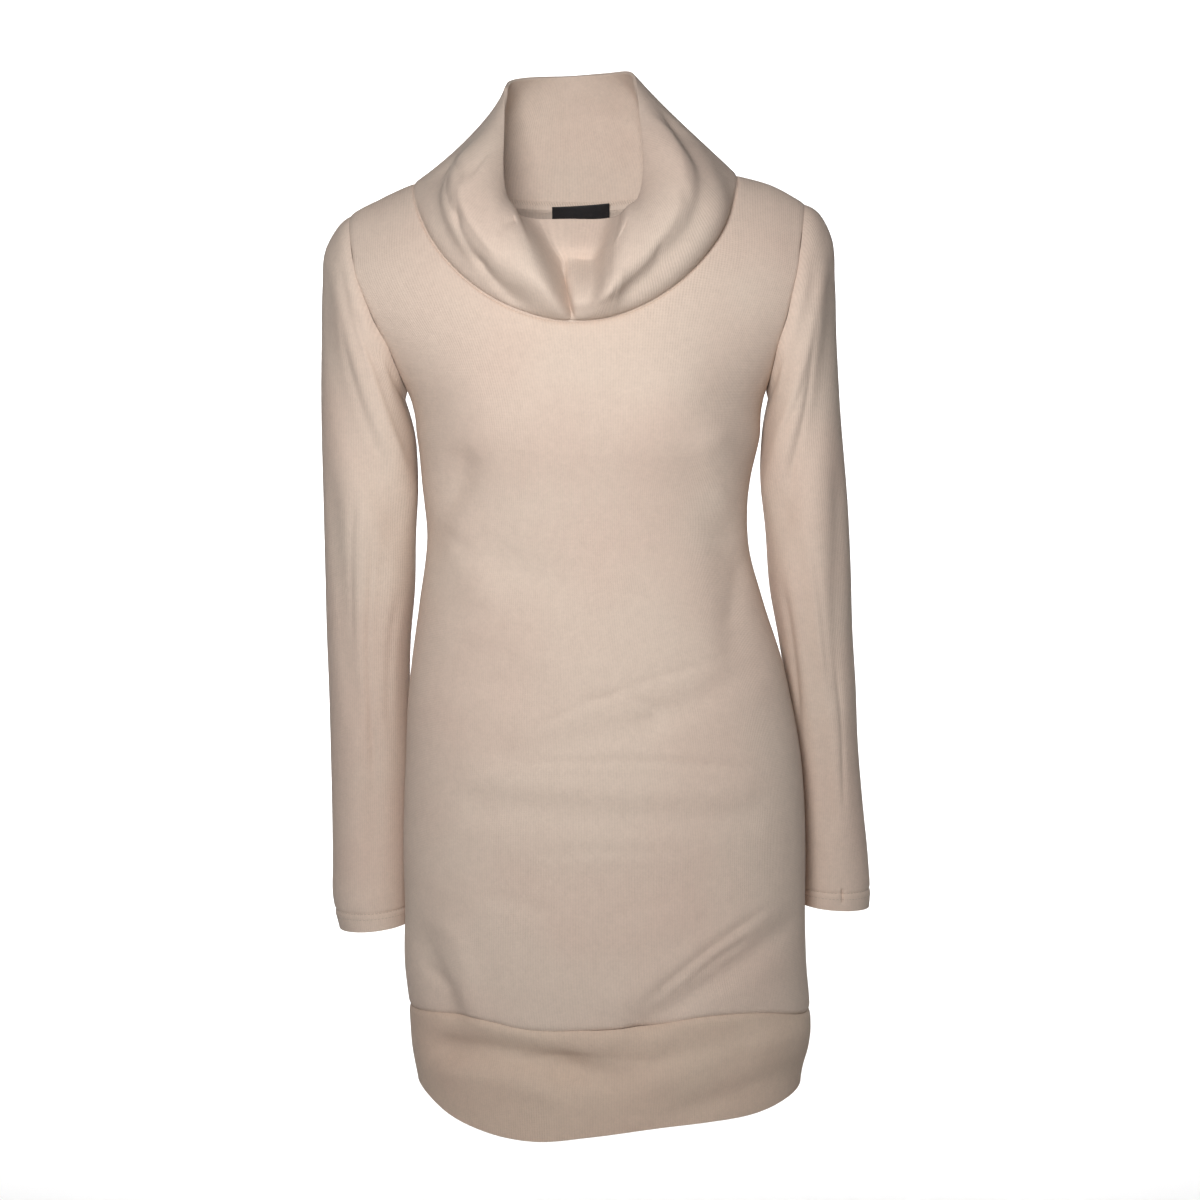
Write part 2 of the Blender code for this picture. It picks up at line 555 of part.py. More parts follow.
def hem_band(u, v):
    """The hem band: one ring, from the lower edge to the seam, a little fuller than the body."""
    column = np.rint(u * BAND_COLUMNS).astype(int)
    in_front = column < FRONT_COLUMNS
    across = np.concatenate((places_across(FRONT_COLUMNS), places_across(BACK_COLUMNS)[-2::-1]))[column]
    turned = np.sin(across * np.pi / 2)
    front_hem, back_hem = read_table(FRONT_HEM, turned), read_table(BACK_HEM, turned)
    hem = np.where(in_front[..., None], front_hem, back_hem)
    level = hem[..., 1] + (hem[..., 0] - SEAM_GAP / 2 - hem[..., 1]) * with_strips(v, BAND_ROWS)
    front, back = body_point(across, level, -1), body_point(across, level, 1)
    return np.where(in_front[..., None], front, back)


def neck_label(u, v):
    """The label hangs from the back neck seam, on the inside of the back panel's cloth."""
    x = LABEL_CENTRE + (u - 0.5) * LABEL_WIDTH
    seam_level = neckline((2 * x - NECK_LEFT - NECK_RIGHT) / (NECK_RIGHT - NECK_LEFT), 1)[1]
    level = seam_level + LABEL_OVER_SEAM - LABEL_HEIGHT * (1 - v)
    across = across_of(x, level)
    points = body_point(across, level, 1)
    beside = body_point(across + 0.01, level, 1) - points
    above = body_point(across, level + 0.001, 1) - points
    return points + unit(np.cross(beside, above)) * LABEL_INSET


def make_cloth(name, surface, columns, rows, wall, material, closed=False):
    """A grid moved onto its surface, closed into a tube where it goes all round, given a wall."""
    mesh_data = bpy.data.meshes.new(name)
    grid = bmesh.new()
    bmesh.ops.create_grid(grid, x_segments=columns, y_segments=rows, size=0.5)
    places = np.array([vertex.co[:2] for vertex in grid.verts]) + 0.5
    for vertex, point in zip(grid.verts, surface(places[:, 0], places[:, 1])):
        vertex.co = point
    if closed:
        bmesh.ops.remove_doubles(grid, verts=grid.verts, dist=1e-5)
    grid.to_mesh(mesh_data)
    grid.free()
    mesh_data.shade_smooth()
    mesh_data.materials.append(material)
    piece = bpy.data.objects.new(name, mesh_data)
    solidify = piece.modifiers.new("Cloth wall", "SOLIDIFY")
    solidify.thickness = wall
    solidify.offset = 0.0
    return piece


def cloth_material(name, colour, roughness):
    material = bpy.data.materials.new(name)
    material.use_nodes = True
    shader = material.node_tree.nodes["Principled BSDF"]
    shader.inputs["Base Color"].default_value = (*colour, 1.0)
    shader.inputs["Roughness"].default_value = roughness
    shader.inputs["Metallic"].default_value = 0.0
    return material


def main():
    for thing in list(bpy.data.objects):
        bpy.data.objects.remove(thing, do_unlink=True)
    collection = bpy.data.collections.new("turtleneck_dress")
    bpy.context.scene.collection.children.link(collection)
    knit, label_black = (0.60, 0.47, 0.38), (0.01, 0.01, 0.01)
    front_rows, back_rows = (rows + ARMHOLE_STEPS for rows in (FRONT_SIDE_ROWS, BACK_SIDE_ROWS))
    pieces = (
        ("front_panel", front_panel, FRONT_COLUMNS, front_rows, CLOTH, knit, False),
        ("back_panel", back_panel, BACK_COLUMNS, back_rows, CLOTH, knit, False),
        ("sleeve_wearers_right", sleeve_wearers_right, SLEEVE_COLUMNS, SLEEVE_ROWS, CLOTH, knit, True),
        ("sleeve_wearers_left", sleeve_wearers_left, SLEEVE_COLUMNS, SLEEVE_ROWS, CLOTH, knit, True),
        ("cowl_collar", collar, COLLAR_COLUMNS, COLLAR_ROWS, DOUBLED_CLOTH, knit, True),
        ("hem_band", hem_band, BAND_COLUMNS, BAND_ROWS, DOUBLED_CLOTH, knit, True),
        ("neck_label", neck_label, LABEL_COLUMNS, LABEL_ROWS, LABEL_CLOTH, label_black, False),
    )
    for name, surface, columns, rows, wall, colour, closed in pieces:
        material = cloth_material(name + "_cloth", colour, 0.9)
        collection.objects.link(make_cloth(name, surface, columns, rows, wall, material, closed))


main()
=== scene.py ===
"""Long-sleeved knitted dress with a draped cowl collar: its cloth, seams, label and studio.

The dress is a set of thin cloth shells, one for each piece that is cut and sewn. Metres, +Z up.
The front faces -Y. The origin lies inside the neck, level with the sides of the neck.
"""

import math

import bpy
import numpy as np
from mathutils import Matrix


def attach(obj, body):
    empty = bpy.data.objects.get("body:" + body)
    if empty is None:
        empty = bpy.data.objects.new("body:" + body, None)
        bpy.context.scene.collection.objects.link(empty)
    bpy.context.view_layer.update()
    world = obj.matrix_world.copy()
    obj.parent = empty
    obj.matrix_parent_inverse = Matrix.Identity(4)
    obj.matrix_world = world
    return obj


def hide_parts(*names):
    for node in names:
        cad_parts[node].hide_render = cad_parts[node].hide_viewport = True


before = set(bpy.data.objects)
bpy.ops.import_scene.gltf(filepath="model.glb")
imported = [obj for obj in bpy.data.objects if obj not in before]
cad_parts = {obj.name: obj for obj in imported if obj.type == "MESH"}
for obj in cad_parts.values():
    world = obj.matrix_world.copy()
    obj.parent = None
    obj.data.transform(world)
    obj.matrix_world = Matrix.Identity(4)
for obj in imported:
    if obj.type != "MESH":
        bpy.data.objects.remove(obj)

bl_info = {
    "name": "Knitted dress with a draped collar",
    "version": (1, 0, 0),
    "blender": (4, 5, 0),
    "location": "3D View > Sidebar > Dress",
    "description": "Builds a knitted dress with a draped collar and a studio round it",
    "category": "Add Mesh",
}

# Cloth walls and seams
CLOTH = 0.0018
DOUBLED_CLOTH = 0.003
LABEL_CLOTH = 0.001
SEAM_GAP = 0.0003
SEAM_STRIP = 0.002

# Heights and fullness of the body
CHEST_LEVEL = -0.200
UNDER_ARM_LEVEL = -0.190
SIDE_FULLNESS = 0.90
SHOULDER_FULLNESS = 1.10
ARMHOLE_LEAD = 0.030
UNDER_ARM_TURN = 0.07

# Neckline: the sides of the neck lie on the shoulder ridges
NECK_LEFT = -0.151
NECK_RIGHT = 0.130
NECK_SCOOP_POWER = 0.62
FRONT_NECK_LOW = -0.122
BACK_NECK_LOW = -0.0285

# Label at the back of the neck. Over the curve of the back its cloth is longer than its height.
LABEL_WIDTH, LABEL_HEIGHT, LABEL_LONGER = 0.051, 0.036, 0.012
LABEL_OVER_SEAM = 0.004
LABEL_CENTRE = -0.0105
LABEL_INSET = 0.0024

# Rows and columns of the grids. A panel has steps along each shoulder, its neckline and armholes.
SHOULDER_STEPS, FRONT_NECK_STEPS, BACK_NECK_STEPS = 4, 20, 14
ARMHOLE_STEPS = 10
FRONT_SIDE_ROWS, BACK_SIDE_ROWS = 31, 17
SLEEVE_ROWS, COLLAR_ROWS, BAND_ROWS = 26, 13, 6
LABEL_GRID = (41, 31)
NECK_STEP_EVENNESS = 1.3
RELAXING_STEPS = 600
GRID_SCALE = np.array((0.28, 1.0))

# Body sections. Above the chest a level is an angle over the shoulder, and 0 is the ridge.
# Columns: level, left, right, front, back
SECTIONS = np.array((
    (-0.860, -0.145, 0.183, 0.104, 0.112),
    (-0.801, -0.150, 0.189, 0.106, 0.114),
    (-0.765, -0.156, 0.196, 0.109, 0.117),
    (-0.735, -0.158, 0.197, 0.107, 0.116),
    (-0.691, -0.1625, 0.1936, 0.109, 0.119),
    (-0.637, -0.162, 0.192, 0.110, 0.122),
    (-0.592, -0.163, 0.192, 0.111, 0.125),
    (-0.547, -0.162, 0.1906, 0.112, 0.126),
    (-0.502, -0.160, 0.1867, 0.111, 0.124),
    (-0.457, -0.158, 0.1785, 0.108, 0.118),
    (-0.421, -0.1543, 0.1703, 0.105, 0.111),
    (-0.368, -0.147, 0.1532, 0.099, 0.099),
    (-0.315, -0.1404, 0.1397, 0.096, 0.092),
    (-0.262, -0.1444, 0.141, 0.102, 0.094),
    (-0.225, -0.148, 0.149, 0.110, 0.098),
    (-0.190, -0.156, 0.154, 0.113, 0.102),
    (-0.170, -0.176, 0.170, 0.113, 0.104),
    (-0.140, -0.2103, 0.1973, 0.113, 0.106),
    (-0.110, -0.2324, 0.2144, 0.112, 0.106),
    (-0.070, -0.2360, 0.2165, 0.110, 0.104),
    (-0.030, -0.2360, 0.2170, 0.106, 0.102),
    (0.000, -0.2350, 0.2170, 0.104, 0.100),
))

# The shoulder ridge seen from the front, carried on across the neck
# Columns: across, height
RIDGE = np.array((
    (-0.235, -0.064),
    (-0.205, -0.0325),
    (-0.180, -0.0190),
    (-0.151, -0.006),
    (-0.080, 0.012),
    (0.000, 0.018),
    (0.080, 0.014),
    (0.130, 0.001),
    (0.160, -0.0075),
    (0.1874, -0.0225),
    (0.220, -0.045),
))

# How far an armhole's edge stands from the side line, by level: 1 is the side line, 0 the middle
# Columns: level, across
ARMHOLE = np.array((
    (-0.190, 1.00),
    (-0.182, 0.885),
    (-0.168, 0.775),
    (-0.140, 0.673),
    (-0.110, 0.634),
    (-0.070, 0.655),
    (-0.030, 0.668),
    (0.000, 0.671),
))

# The seam of the hem band and the lower edge of the dress, by place across: -1 left, 1 right
# Columns: across, seam, edge
FRONT_HEM = np.array((
    (-1.00, -0.7290, -0.796),
    (-0.85, -0.7245, -0.813),
    (-0.65, -0.7240, -0.8240),
    (-0.40, -0.7300, -0.8285),
    (-0.10, -0.7285, -0.8225),
    (0.20, -0.7245, -0.8160),
    (0.50, -0.7190, -0.8130),
    (0.80, -0.7230, -0.809),
    (1.00, -0.7340, -0.800),
))
BACK_HEM = np.array((
    (-1.00, -0.7290, -0.796),
    (-0.50, -0.7310, -0.806),
    (0.00, -0.7320, -0.811),
    (0.50, -0.7325, -0.808),
    (1.00, -0.7340, -0.800),
))

# Soft folds of the body seen from the front: two ends, half width and height over the cloth
# Columns: start_x, start_z, end_x, end_z, width, height
FRONT_FOLDS = np.array((
    (-0.088, -0.188, -0.086, -0.205, 0.046, 0.0090),
    (0.072, -0.184, 0.070, -0.200, 0.046, 0.0090),
    (-0.104, -0.245, -0.136, -0.305, 0.016, -0.0065),
    (-0.122, -0.292, -0.090, -0.345, 0.020, 0.0050),
    (-0.095, -0.325, -0.030, -0.340, 0.018, -0.0035),
    (0.106, -0.226, 0.138, -0.305, 0.018, 0.0055),
    (0.124, -0.305, 0.130, -0.400, 0.019, -0.0060),
    (-0.128, -0.418, -0.055, -0.428, 0.020, -0.0030),
    (-0.070, -0.490, 0.055, -0.460, 0.012, -0.0024),
    (0.055, -0.460, 0.146, -0.420, 0.012, -0.0026),
    (-0.095, -0.512, 0.135, -0.524, 0.012, 0.0014),
    (-0.092, -0.535, 0.138, -0.545, 0.014, -0.0022),
    (-0.070, -0.600, 0.100, -0.602, 0.022, -0.0016),
    (0.045, -0.726, 0.175, -0.648, 0.012, -0.0042),
    (0.030, -0.700, 0.150, -0.632, 0.014, 0.0020),
    (-0.144, -0.662, -0.116, -0.720, 0.015, -0.0065),
    (-0.120, -0.656, -0.102, -0.712, 0.014, 0.0045),
    (-0.120, -0.758, -0.020, -0.766, 0.016, -0.0060),
    (-0.020, -0.766, 0.130, -0.752, 0.016, -0.0045),
))
BACK_FOLDS = np.array((
    (-0.115, -0.295, 0.000, -0.330, 0.018, -0.0060),
    (-0.020, -0.352, 0.120, -0.312, 0.019, -0.0060),
    (-0.100, -0.370, 0.070, -0.386, 0.017, 0.0050),
    (-0.125, -0.455, 0.040, -0.492, 0.017, -0.0055),
    (0.010, -0.525, 0.155, -0.485, 0.017, -0.0055),
    (-0.110, -0.640, 0.020, -0.690, 0.018, -0.0050),
    (-0.085, -0.130, 0.010, -0.180, 0.026, -0.0040),
    (-0.040, -0.765, 0.090, -0.760, 0.018, -0.0045),
))

# Sleeve rings from just below the armhole to the cuff: outer and inner edge, front and back depth
# Columns: outer_x, outer_z, inner_x, inner_z, front_y, back_y
RINGS_WEARERS_RIGHT = np.array((
    (-0.2155, -0.0420, -0.1592, -0.1930, -0.056, 0.060),
    (-0.2262, -0.0600, -0.1580, -0.1990, -0.056, 0.061),
    (-0.2304, -0.0960, -0.1552, -0.2100, -0.053, 0.063),
    (-0.2318, -0.1400, -0.1520, -0.2260, -0.049, 0.065),
    (-0.2326, -0.1840, -0.1505, -0.2480, -0.046, 0.066),
    (-0.2318, -0.2890, -0.1518, -0.3150, -0.040, 0.067),
    (-0.2315, -0.3420, -0.1540, -0.3600, -0.033, 0.070),
    (-0.2314, -0.3960, -0.1585, -0.4050, -0.023, 0.073),
    (-0.2306, -0.4500, -0.1602, -0.4550, -0.012, 0.077),
    (-0.2304, -0.5030, -0.1600, -0.5060, -0.001, 0.081),
    (-0.2302, -0.5570, -0.1605, -0.5590, 0.007, 0.083),
    (-0.2300, -0.6120, -0.1610, -0.6130, 0.008, 0.082),
    (-0.2298, -0.6420, -0.1615, -0.6400, 0.004, 0.081),
    (-0.2235, -0.6690, -0.1620, -0.6630, 0.001, 0.079),
))
RINGS_WEARERS_LEFT = np.array((
    (0.2000, -0.0310, 0.1575, -0.1930, -0.056, 0.060),
    (0.2100, -0.0490, 0.1565, -0.1990, -0.056, 0.061),
    (0.2145, -0.0900, 0.1548, -0.2100, -0.053, 0.063),
    (0.2165, -0.1400, 0.1532, -0.2260, -0.049, 0.065),
    (0.2190, -0.1840, 0.1522, -0.2480, -0.046, 0.066),
    (0.2282, -0.2890, 0.1572, -0.3150, -0.040, 0.067),
    (0.2315, -0.3420, 0.1618, -0.3600, -0.033, 0.070),
    (0.2342, -0.3960, 0.1704, -0.4050, -0.021, 0.075),
    (0.2385, -0.4500, 0.1785, -0.4550, -0.008, 0.080),
    (0.2416, -0.5030, 0.1850, -0.5060, 0.003, 0.084),
    (0.2468, -0.5570, 0.1885, -0.5590, 0.010, 0.085),
    (0.2526, -0.6120, 0.1905, -0.6130, 0.014, 0.083),
    (0.2540, -0.6350, 0.1915, -0.6330, 0.014, 0.081),
    (0.2530, -0.6520, 0.1930, -0.6480, 0.015, 0.079),
))

# Soft folds of a sleeve: angle round it in turns from the outer edge, and share of its length down
# Columns: start_turn, start_down, end_turn, end_down, width, height
SLEEVE_FOLDS = np.array((
    (0.10, 0.10, 0.34, 0.32, 0.060, -0.0055),
    (0.20, 0.08, 0.42, 0.26, 0.050, 0.0040),
    (0.12, 0.34, 0.20, 0.62, 0.045, -0.0030),
    (0.30, 0.42, 0.26, 0.84, 0.045, -0.0035),
    (0.72, 0.14, 0.58, 0.34, 0.060, -0.0050),
    (0.80, 0.40, 0.74, 0.72, 0.050, -0.0030),
))

# Collar stations round the neck, from the wearer's right side past the front. A turn of 0.25 is
# the middle of the front. Low and high are where the wall swells to, and edge is its top.
# Columns: turn, low_x, low_y, low_z, high_x, high_y, high_z, edge_x, edge_y, edge_z
COLLAR_STATIONS = np.array((
    (0.000, -0.122, -0.006, 0.012, -0.078, -0.002, 0.052, -0.0700, -0.006, 0.077),
    (0.065, -0.138, -0.076, -0.024, -0.100, -0.080, 0.024, -0.0715, -0.044, 0.038),
    (0.125, -0.124, -0.110, -0.058, -0.098, -0.116, -0.004, -0.0720, -0.066, 0.006),
    (0.170, -0.086, -0.130, -0.088, -0.078, -0.132, -0.026, -0.0690, -0.080, -0.016),
    (0.212, -0.048, -0.142, -0.104, -0.052, -0.140, -0.050, -0.0620, -0.088, -0.027),
    (0.238, -0.024, -0.140, -0.114, -0.040, -0.134, -0.062, -0.0570, -0.082, -0.034),
    (0.245, -0.011, -0.116, -0.113, -0.024, -0.090, -0.068, -0.0440, -0.065, -0.037),
    (0.251, -0.014, -0.134, -0.113, -0.012, -0.084, -0.064, -0.0150, -0.063, -0.037),
    (0.258, 0.000, -0.142, -0.113, 0.010, -0.088, -0.066, 0.0120, -0.064, -0.037),
    (0.266, 0.011, -0.144, -0.112, 0.020, -0.130, -0.064, 0.0270, -0.078, -0.034),
    (0.286, 0.024, -0.144, -0.110, 0.028, -0.140, -0.054, 0.0340, -0.088, -0.027),
    (0.325, 0.056, -0.132, -0.092, 0.056, -0.134, -0.034, 0.0440, -0.080, -0.018),
    (0.375, 0.102, -0.112, -0.058, 0.082, -0.120, -0.006, 0.0480, -0.064, 0.006),
    (0.435, 0.125, -0.080, -0.024, 0.085, -0.084, 0.026, 0.0460, -0.042, 0.040),
    (0.500, 0.106, -0.006, 0.022, 0.062, -0.002, 0.062, 0.0410, -0.004, 0.079),
    (0.570, 0.101, 0.034, 0.014, 0.058, 0.034, 0.066, 0.0360, 0.024, 0.091),
    (0.655, 0.066, 0.064, 0.005, 0.040, 0.062, 0.060, 0.0170, 0.046, 0.0915),
    (0.750, -0.012, 0.074, 0.005, -0.015, 0.072, 0.055, -0.0160, 0.058, 0.090),
    (0.845, -0.086, 0.062, 0.005, -0.066, 0.062, 0.060, -0.0480, 0.047, 0.088),
    (0.930, -0.112, 0.034, 0.008, -0.075, 0.034, 0.056, -0.0660, 0.024, 0.084),
    (1.000, -0.122, -0.006, 0.012, -0.078, -0.002, 0.052, -0.0700, -0.006, 0.077),
))

# Folds of the collar stand off from a place inside it, and less so upwards
COLLAR_MIDDLE = np.array((-0.0105, -0.005, 0.0))
COLLAR_LIFT = 0.35

# Soft folds of the collar: station numbers, shares of the way from seam to edge, metres across them
COLLAR_HEIGHT = 0.10
# Columns: start_station, start_up, end_station, end_up, width, height
COLLAR_FOLDS = np.array((
    (0.40, 0.30, 3.60, 0.16, 0.014, -0.0075),
    (0.90, 0.62, 4.60, 0.46, 0.016, 0.0040),
    (13.6, 0.62, 10.6, 0.26, 0.014, -0.0070),
    (13.2, 0.86, 9.40, 0.44, 0.016, 0.0040),
    (6.80, 0.62, 8.90, 0.66, 0.010, -0.0090),
    (7.40, 0.34, 9.00, 0.42, 0.012, 0.0085),
))

# Creases of the cloth itself, narrower than the folds. Lean is how much steeper one side is. They bow
# a little off the straight line between their ends, and fade out over a share of their length.
# Columns: start_x, start_z, end_x, end_z, width, lean, height
CREASE_BOW, CREASE_FADE = 0.04, 0.25
FRONT_CREASES = np.array((
    (-0.066, -0.477, 0.126, -0.408, 0.0032, 0.35, -0.0015),
    (-0.094, -0.501, 0.160, -0.508, 0.0032, 0.45, -0.0015),
    (-0.057, -0.578, 0.095, -0.576, 0.0050, 0.30, -0.0008),
    (0.044, -0.710, 0.164, -0.625, 0.0042, 0.40, -0.0026),
    (0.086, -0.688, 0.143, -0.651, 0.0036, 0.20, -0.0016),
    (-0.133, -0.644, -0.110, -0.696, 0.0070, 0.30, -0.0018),
    (-0.145, -0.682, -0.114, -0.705, 0.0060, 0.20, -0.0018),
    (-0.124, -0.398, -0.053, -0.410, 0.0100, 0.00, -0.0012),
    (-0.099, -0.241, -0.128, -0.296, 0.0090, 0.20, -0.0012),
    (-0.131, -0.300, -0.099, -0.318, 0.0070, 0.00, -0.0016),
    (0.102, -0.220, 0.132, -0.296, 0.0090, 0.20, -0.0014),
    (0.130, -0.321, 0.119, -0.389, 0.0080, 0.00, -0.0016),
    (-0.023, -0.440, 0.086, -0.454, 0.0050, 0.20, -0.0012),
    (-0.099, -0.614, -0.023, -0.627, 0.0080, 0.00, -0.0012),
    (0.002, -0.635, 0.086, -0.614, 0.0080, 0.00, -0.0010),
))
BACK_CREASES = np.array((
    (-0.120, -0.262, -0.020, -0.300, 0.0080, 0.30, -0.0024),
    (-0.040, -0.318, 0.110, -0.282, 0.0075, 0.30, -0.0026),
    (-0.104, -0.340, 0.020, -0.356, 0.0065, 0.20, -0.0022),
    (-0.010, -0.382, 0.118, -0.360, 0.0070, 0.20, -0.0022),
    (-0.130, -0.440, -0.010, -0.470, 0.0070, 0.35, -0.0020),
    (0.020, -0.505, 0.160, -0.462, 0.0070, 0.35, -0.0020),
    (-0.090, -0.560, 0.060, -0.572, 0.0070, 0.20, -0.0014),
    (-0.140, -0.655, -0.020, -0.702, 0.0080, 0.30, -0.0022),
    (0.080, -0.700, 0.168, -0.640, 0.0070, 0.30, -0.0022),
    (-0.090, -0.110, -0.010, -0.150, 0.0110, 0.00, -0.0014),
    (0.020, -0.150, 0.090, -0.112, 0.0110, 0.00, -0.0014),
))

# Creases of a sleeve: turns round it from the outer edge, and share of its length down
# Columns: start_turn, start_down, end_turn, end_down, width, lean, height
SLEEVE_CREASES_WEARERS_RIGHT = np.array((
    (0.165, 0.075, 0.345, 0.245, 0.020, 0.20, -0.0026),
    (0.255, 0.030, 0.400, 0.230, 0.018, 0.00, 0.0018),
    (0.215, 0.280, 0.205, 0.560, 0.014, 0.20, -0.0014),
    (0.275, 0.330, 0.290, 0.800, 0.015, 0.20, -0.0016),
    (0.380, 0.420, 0.340, 0.700, 0.020, 0.00, -0.0014),
    (0.830, 0.120, 0.640, 0.300, 0.022, 0.20, -0.0026),
    (0.780, 0.360, 0.720, 0.620, 0.016, 0.10, -0.0016),
    (0.900, 0.500, 0.860, 0.800, 0.018, 0.00, -0.0012),
))
SLEEVE_CREASES_WEARERS_LEFT = np.array((
    (0.180, 0.085, 0.370, 0.200, 0.020, 0.20, -0.0024),
    (0.200, 0.110, 0.350, 0.290, 0.017, 0.20, -0.0024),
    (0.380, 0.420, 0.400, 0.720, 0.020, 0.00, -0.0024),
    (0.250, 0.380, 0.230, 0.640, 0.015, 0.20, -0.0014),
    (0.180, 0.560, 0.200, 0.860, 0.014, 0.10, -0.0014),
    (0.820, 0.110, 0.660, 0.280, 0.022, 0.20, -0.0026),
    (0.760, 0.380, 0.700, 0.660, 0.016, 0.10, -0.0016),
    (0.229, 0.960, 0.224, 0.990, 0.008, 0.00, -0.0026),
))

# Creases of the collar: station numbers and shares of the way from seam to edge, widths in metres
COLLAR_CREASES = np.array((
    (0.80, 0.42, 2.30, 0.44, 0.0070, 0.30, -0.0030),
    (1.70, 0.52, 2.90, 0.20, 0.0080, 0.30, -0.0030),
    (2.40, 0.34, 3.70, 0.02, 0.0080, 0.30, -0.0026),
    (0.70, 0.50, 1.75, 0.66, 0.0035, 0.20, -0.0022),
    (1.75, 0.68, 1.25, 1.00, 0.0050, 0.40, -0.0022),
    (1.95, 0.62, 1.60, 0.98, 0.0080, 0.00, 0.0016),
    (3.15, 0.68, 3.95, 0.84, 0.0035, 0.30, -0.0022),
    (3.00, 0.60, 3.80, 0.74, 0.0060, 0.00, 0.0012),
    (5.55, 0.76, 6.40, 0.40, 0.0038, 0.00, -0.0046),
    (6.00, 0.50, 6.98, 0.02, 0.0040, 0.00, -0.0052),
    (10.3, 0.88, 9.10, 0.66, 0.0045, 0.30, -0.0030),
    (9.20, 0.66, 6.60, 0.62, 0.0045, 0.30, -0.0035),
    (9.60, 0.56, 7.20, 0.44, 0.0070, 0.00, 0.0022),
    (8.10, 0.96, 8.60, 0.60, 0.0045, 0.50, -0.0022),
    (13.6, 0.80, 12.0, 0.64, 0.0090, 0.20, -0.0014),
    (12.4, 0.70, 10.9, 0.42, 0.0100, 0.20, -0.0020),
    (11.4, 0.50, 9.60, 0.28, 0.0100, 0.20, -0.0020),
    (6.70, 0.44, 9.30, 0.50, 0.0070, 0.00, 0.0020),
    (15.4, 0.98, 16.4, 0.08, 0.0090, 0.20, 0.0030),
    (17.9, 0.55, 17.3, 0.08, 0.0100, 0.20, -0.0020),
    (16.4, 0.30, 18.0, 0.36, 0.0100, 0.20, -0.0024),
    (15.8, 0.62, 17.4, 0.70, 0.0100, 0.20, 0.0018),
    (1.30, 0.65, 3.40, 0.46, 0.0060, 0.20, 0.0026),
    (3.75, 0.88, 3.05, 0.60, 0.0040, 0.30, -0.0030),
    (19.2, 0.66, 18.4, 0.24, 0.0090, 0.10, 0.0026),
))

# Ridge and trough below the hem band's seam: turns round it from the left (1 is the right), height
BAND_CREASES = np.array((
    (0.06, -0.732, 0.96, -0.728, 0.0050, 0.20, 0.0012),
    (0.10, -0.762, 0.56, -0.779, 0.0140, 0.00, -0.0070),
    (0.44, -0.744, 0.62, -0.738, 0.0090, 0.00, 0.0016),
    (0.50, -0.785, 1.00, -0.752, 0.0120, 0.00, 0.0036),
    (0.54, -0.815, 1.04, -0.790, 0.0140, 0.00, -0.0036),
    (0.14, -0.778, 0.46, -0.792, 0.0120, 0.10, 0.0026),
    (0.30, -0.768, 0.62, -0.762, 0.0040, 0.20, -0.0008),
    (1.06, -0.748, 1.50, -0.756, 0.0110, 0.20, -0.0040),
    (1.42, -0.768, 1.92, -0.744, 0.0100, 0.20, -0.0034),
))

# How finely the cloth's grids are read: places in the first step beside an edge, places to a step
# elsewhere, and columns round a tube
EDGE_PLACES = (0.0, 0.05, 0.10, 0.16, 0.24, 0.34)
PANEL_FINE = SLEEVE_FINE = BAND_FINE = 5.0
COLLAR_FINE = 6.0
SLEEVE_TURNS, COLLAR_TURNS, BAND_TURNS = 120, 330, 300

# How deep and how wide the cloth turns in beside a seam
HEM_TUCK = (0.0026, 0.0024)
NECK_TUCK = (0.0022, 0.0022)
BACK_NECK_TUCK = (0.0006, 0.0020)
SIDE_TUCK = (0.0011, 0.0036)
BEHIND_NECK_FADE = 0.06
COLLAR_CREASE_FADE = 0.12

# The label sits a little aside and above the middle of the seam, its right end higher, and bellies
LABEL_ASIDE, LABEL_RAISE, LABEL_TILT, LABEL_LIFT = 0.004, 0.004, 0.003, 0.0022
LABEL_BELLY = 0.0014

# The overlocked strip behind the neck: shares of the way round the collar, heights over the seam,
# ribs, rows, thickness, how far its belly stands proud, and its distance from the collar
OVERLOCK_TURNS = (0.670, 0.965)
OVERLOCK_RISE = (0.0015, 0.0085)
OVERLOCK_RIBS, OVERLOCK_ROWS = 130, 5
OVERLOCK_CLOTH = OVERLOCK_PROUD = 0.0006
OVERLOCK_GAP = 0.0003
OVERLOCK_THREAD, OVERLOCK_THREAD_LIFT = 0.00026, 0.0001

# Sleeve hems: height of the turned-up cloth, how far it stands proud, and the groove of its stitches.
# The second row of stitches is a little lower.
CUFF_HEM = 0.0155
CUFF_PROUD, CUFF_PROUD_FADE = 0.0006, 0.0012
CUFF_GROOVE, CUFF_GROOVE_WIDTH = 0.0011, 0.0016
CUFF_ROW_DROP = 0.0045
CUFF_THREAD, CUFF_STITCH_GAP = 0.00035, 0.0008
CUFF_PLACES = np.linspace(0.2, 1.4, 37)

# Sizes of the knit's map, in metres
KNIT_HALF_WIDTH = 0.235
KNIT_SLEEVE_ROUND = 0.22
KNIT_COLLAR_ROUND = 0.72
KNIT_COLLAR_HEIGHT = 0.22

# The knit's relief: metres that its wales wander, loops and their depth beside the wales', and how
# much the fuzz covers the wales. Its tone: the least, and what wales, tufts and fuzz add. Patches
# change within a range of the noise. The hem band's colour is darkened as painted shade, for the
# light that falls less on its downward-leaning face.
WALE_DEPTH, FUZZ_DEPTH, WALE_WANDER = 0.00012, 0.00022, 0.004
LOOPS_TO_A_WALE, LOOP_DEPTH_SHARE = 1.3, 0.35
WALE_BARE, WALE_COVERED = 1.3, -1.2
TONE_LEAST, TONE_WALES, TONE_TUFTS, TONE_FUZZ = 0.82, 0.035, 0.12, 0.24
PATCH_RANGE = (0.38, 0.66)
BAND_PAINTED_SHADE = (0.94, 0.91, 0.87)
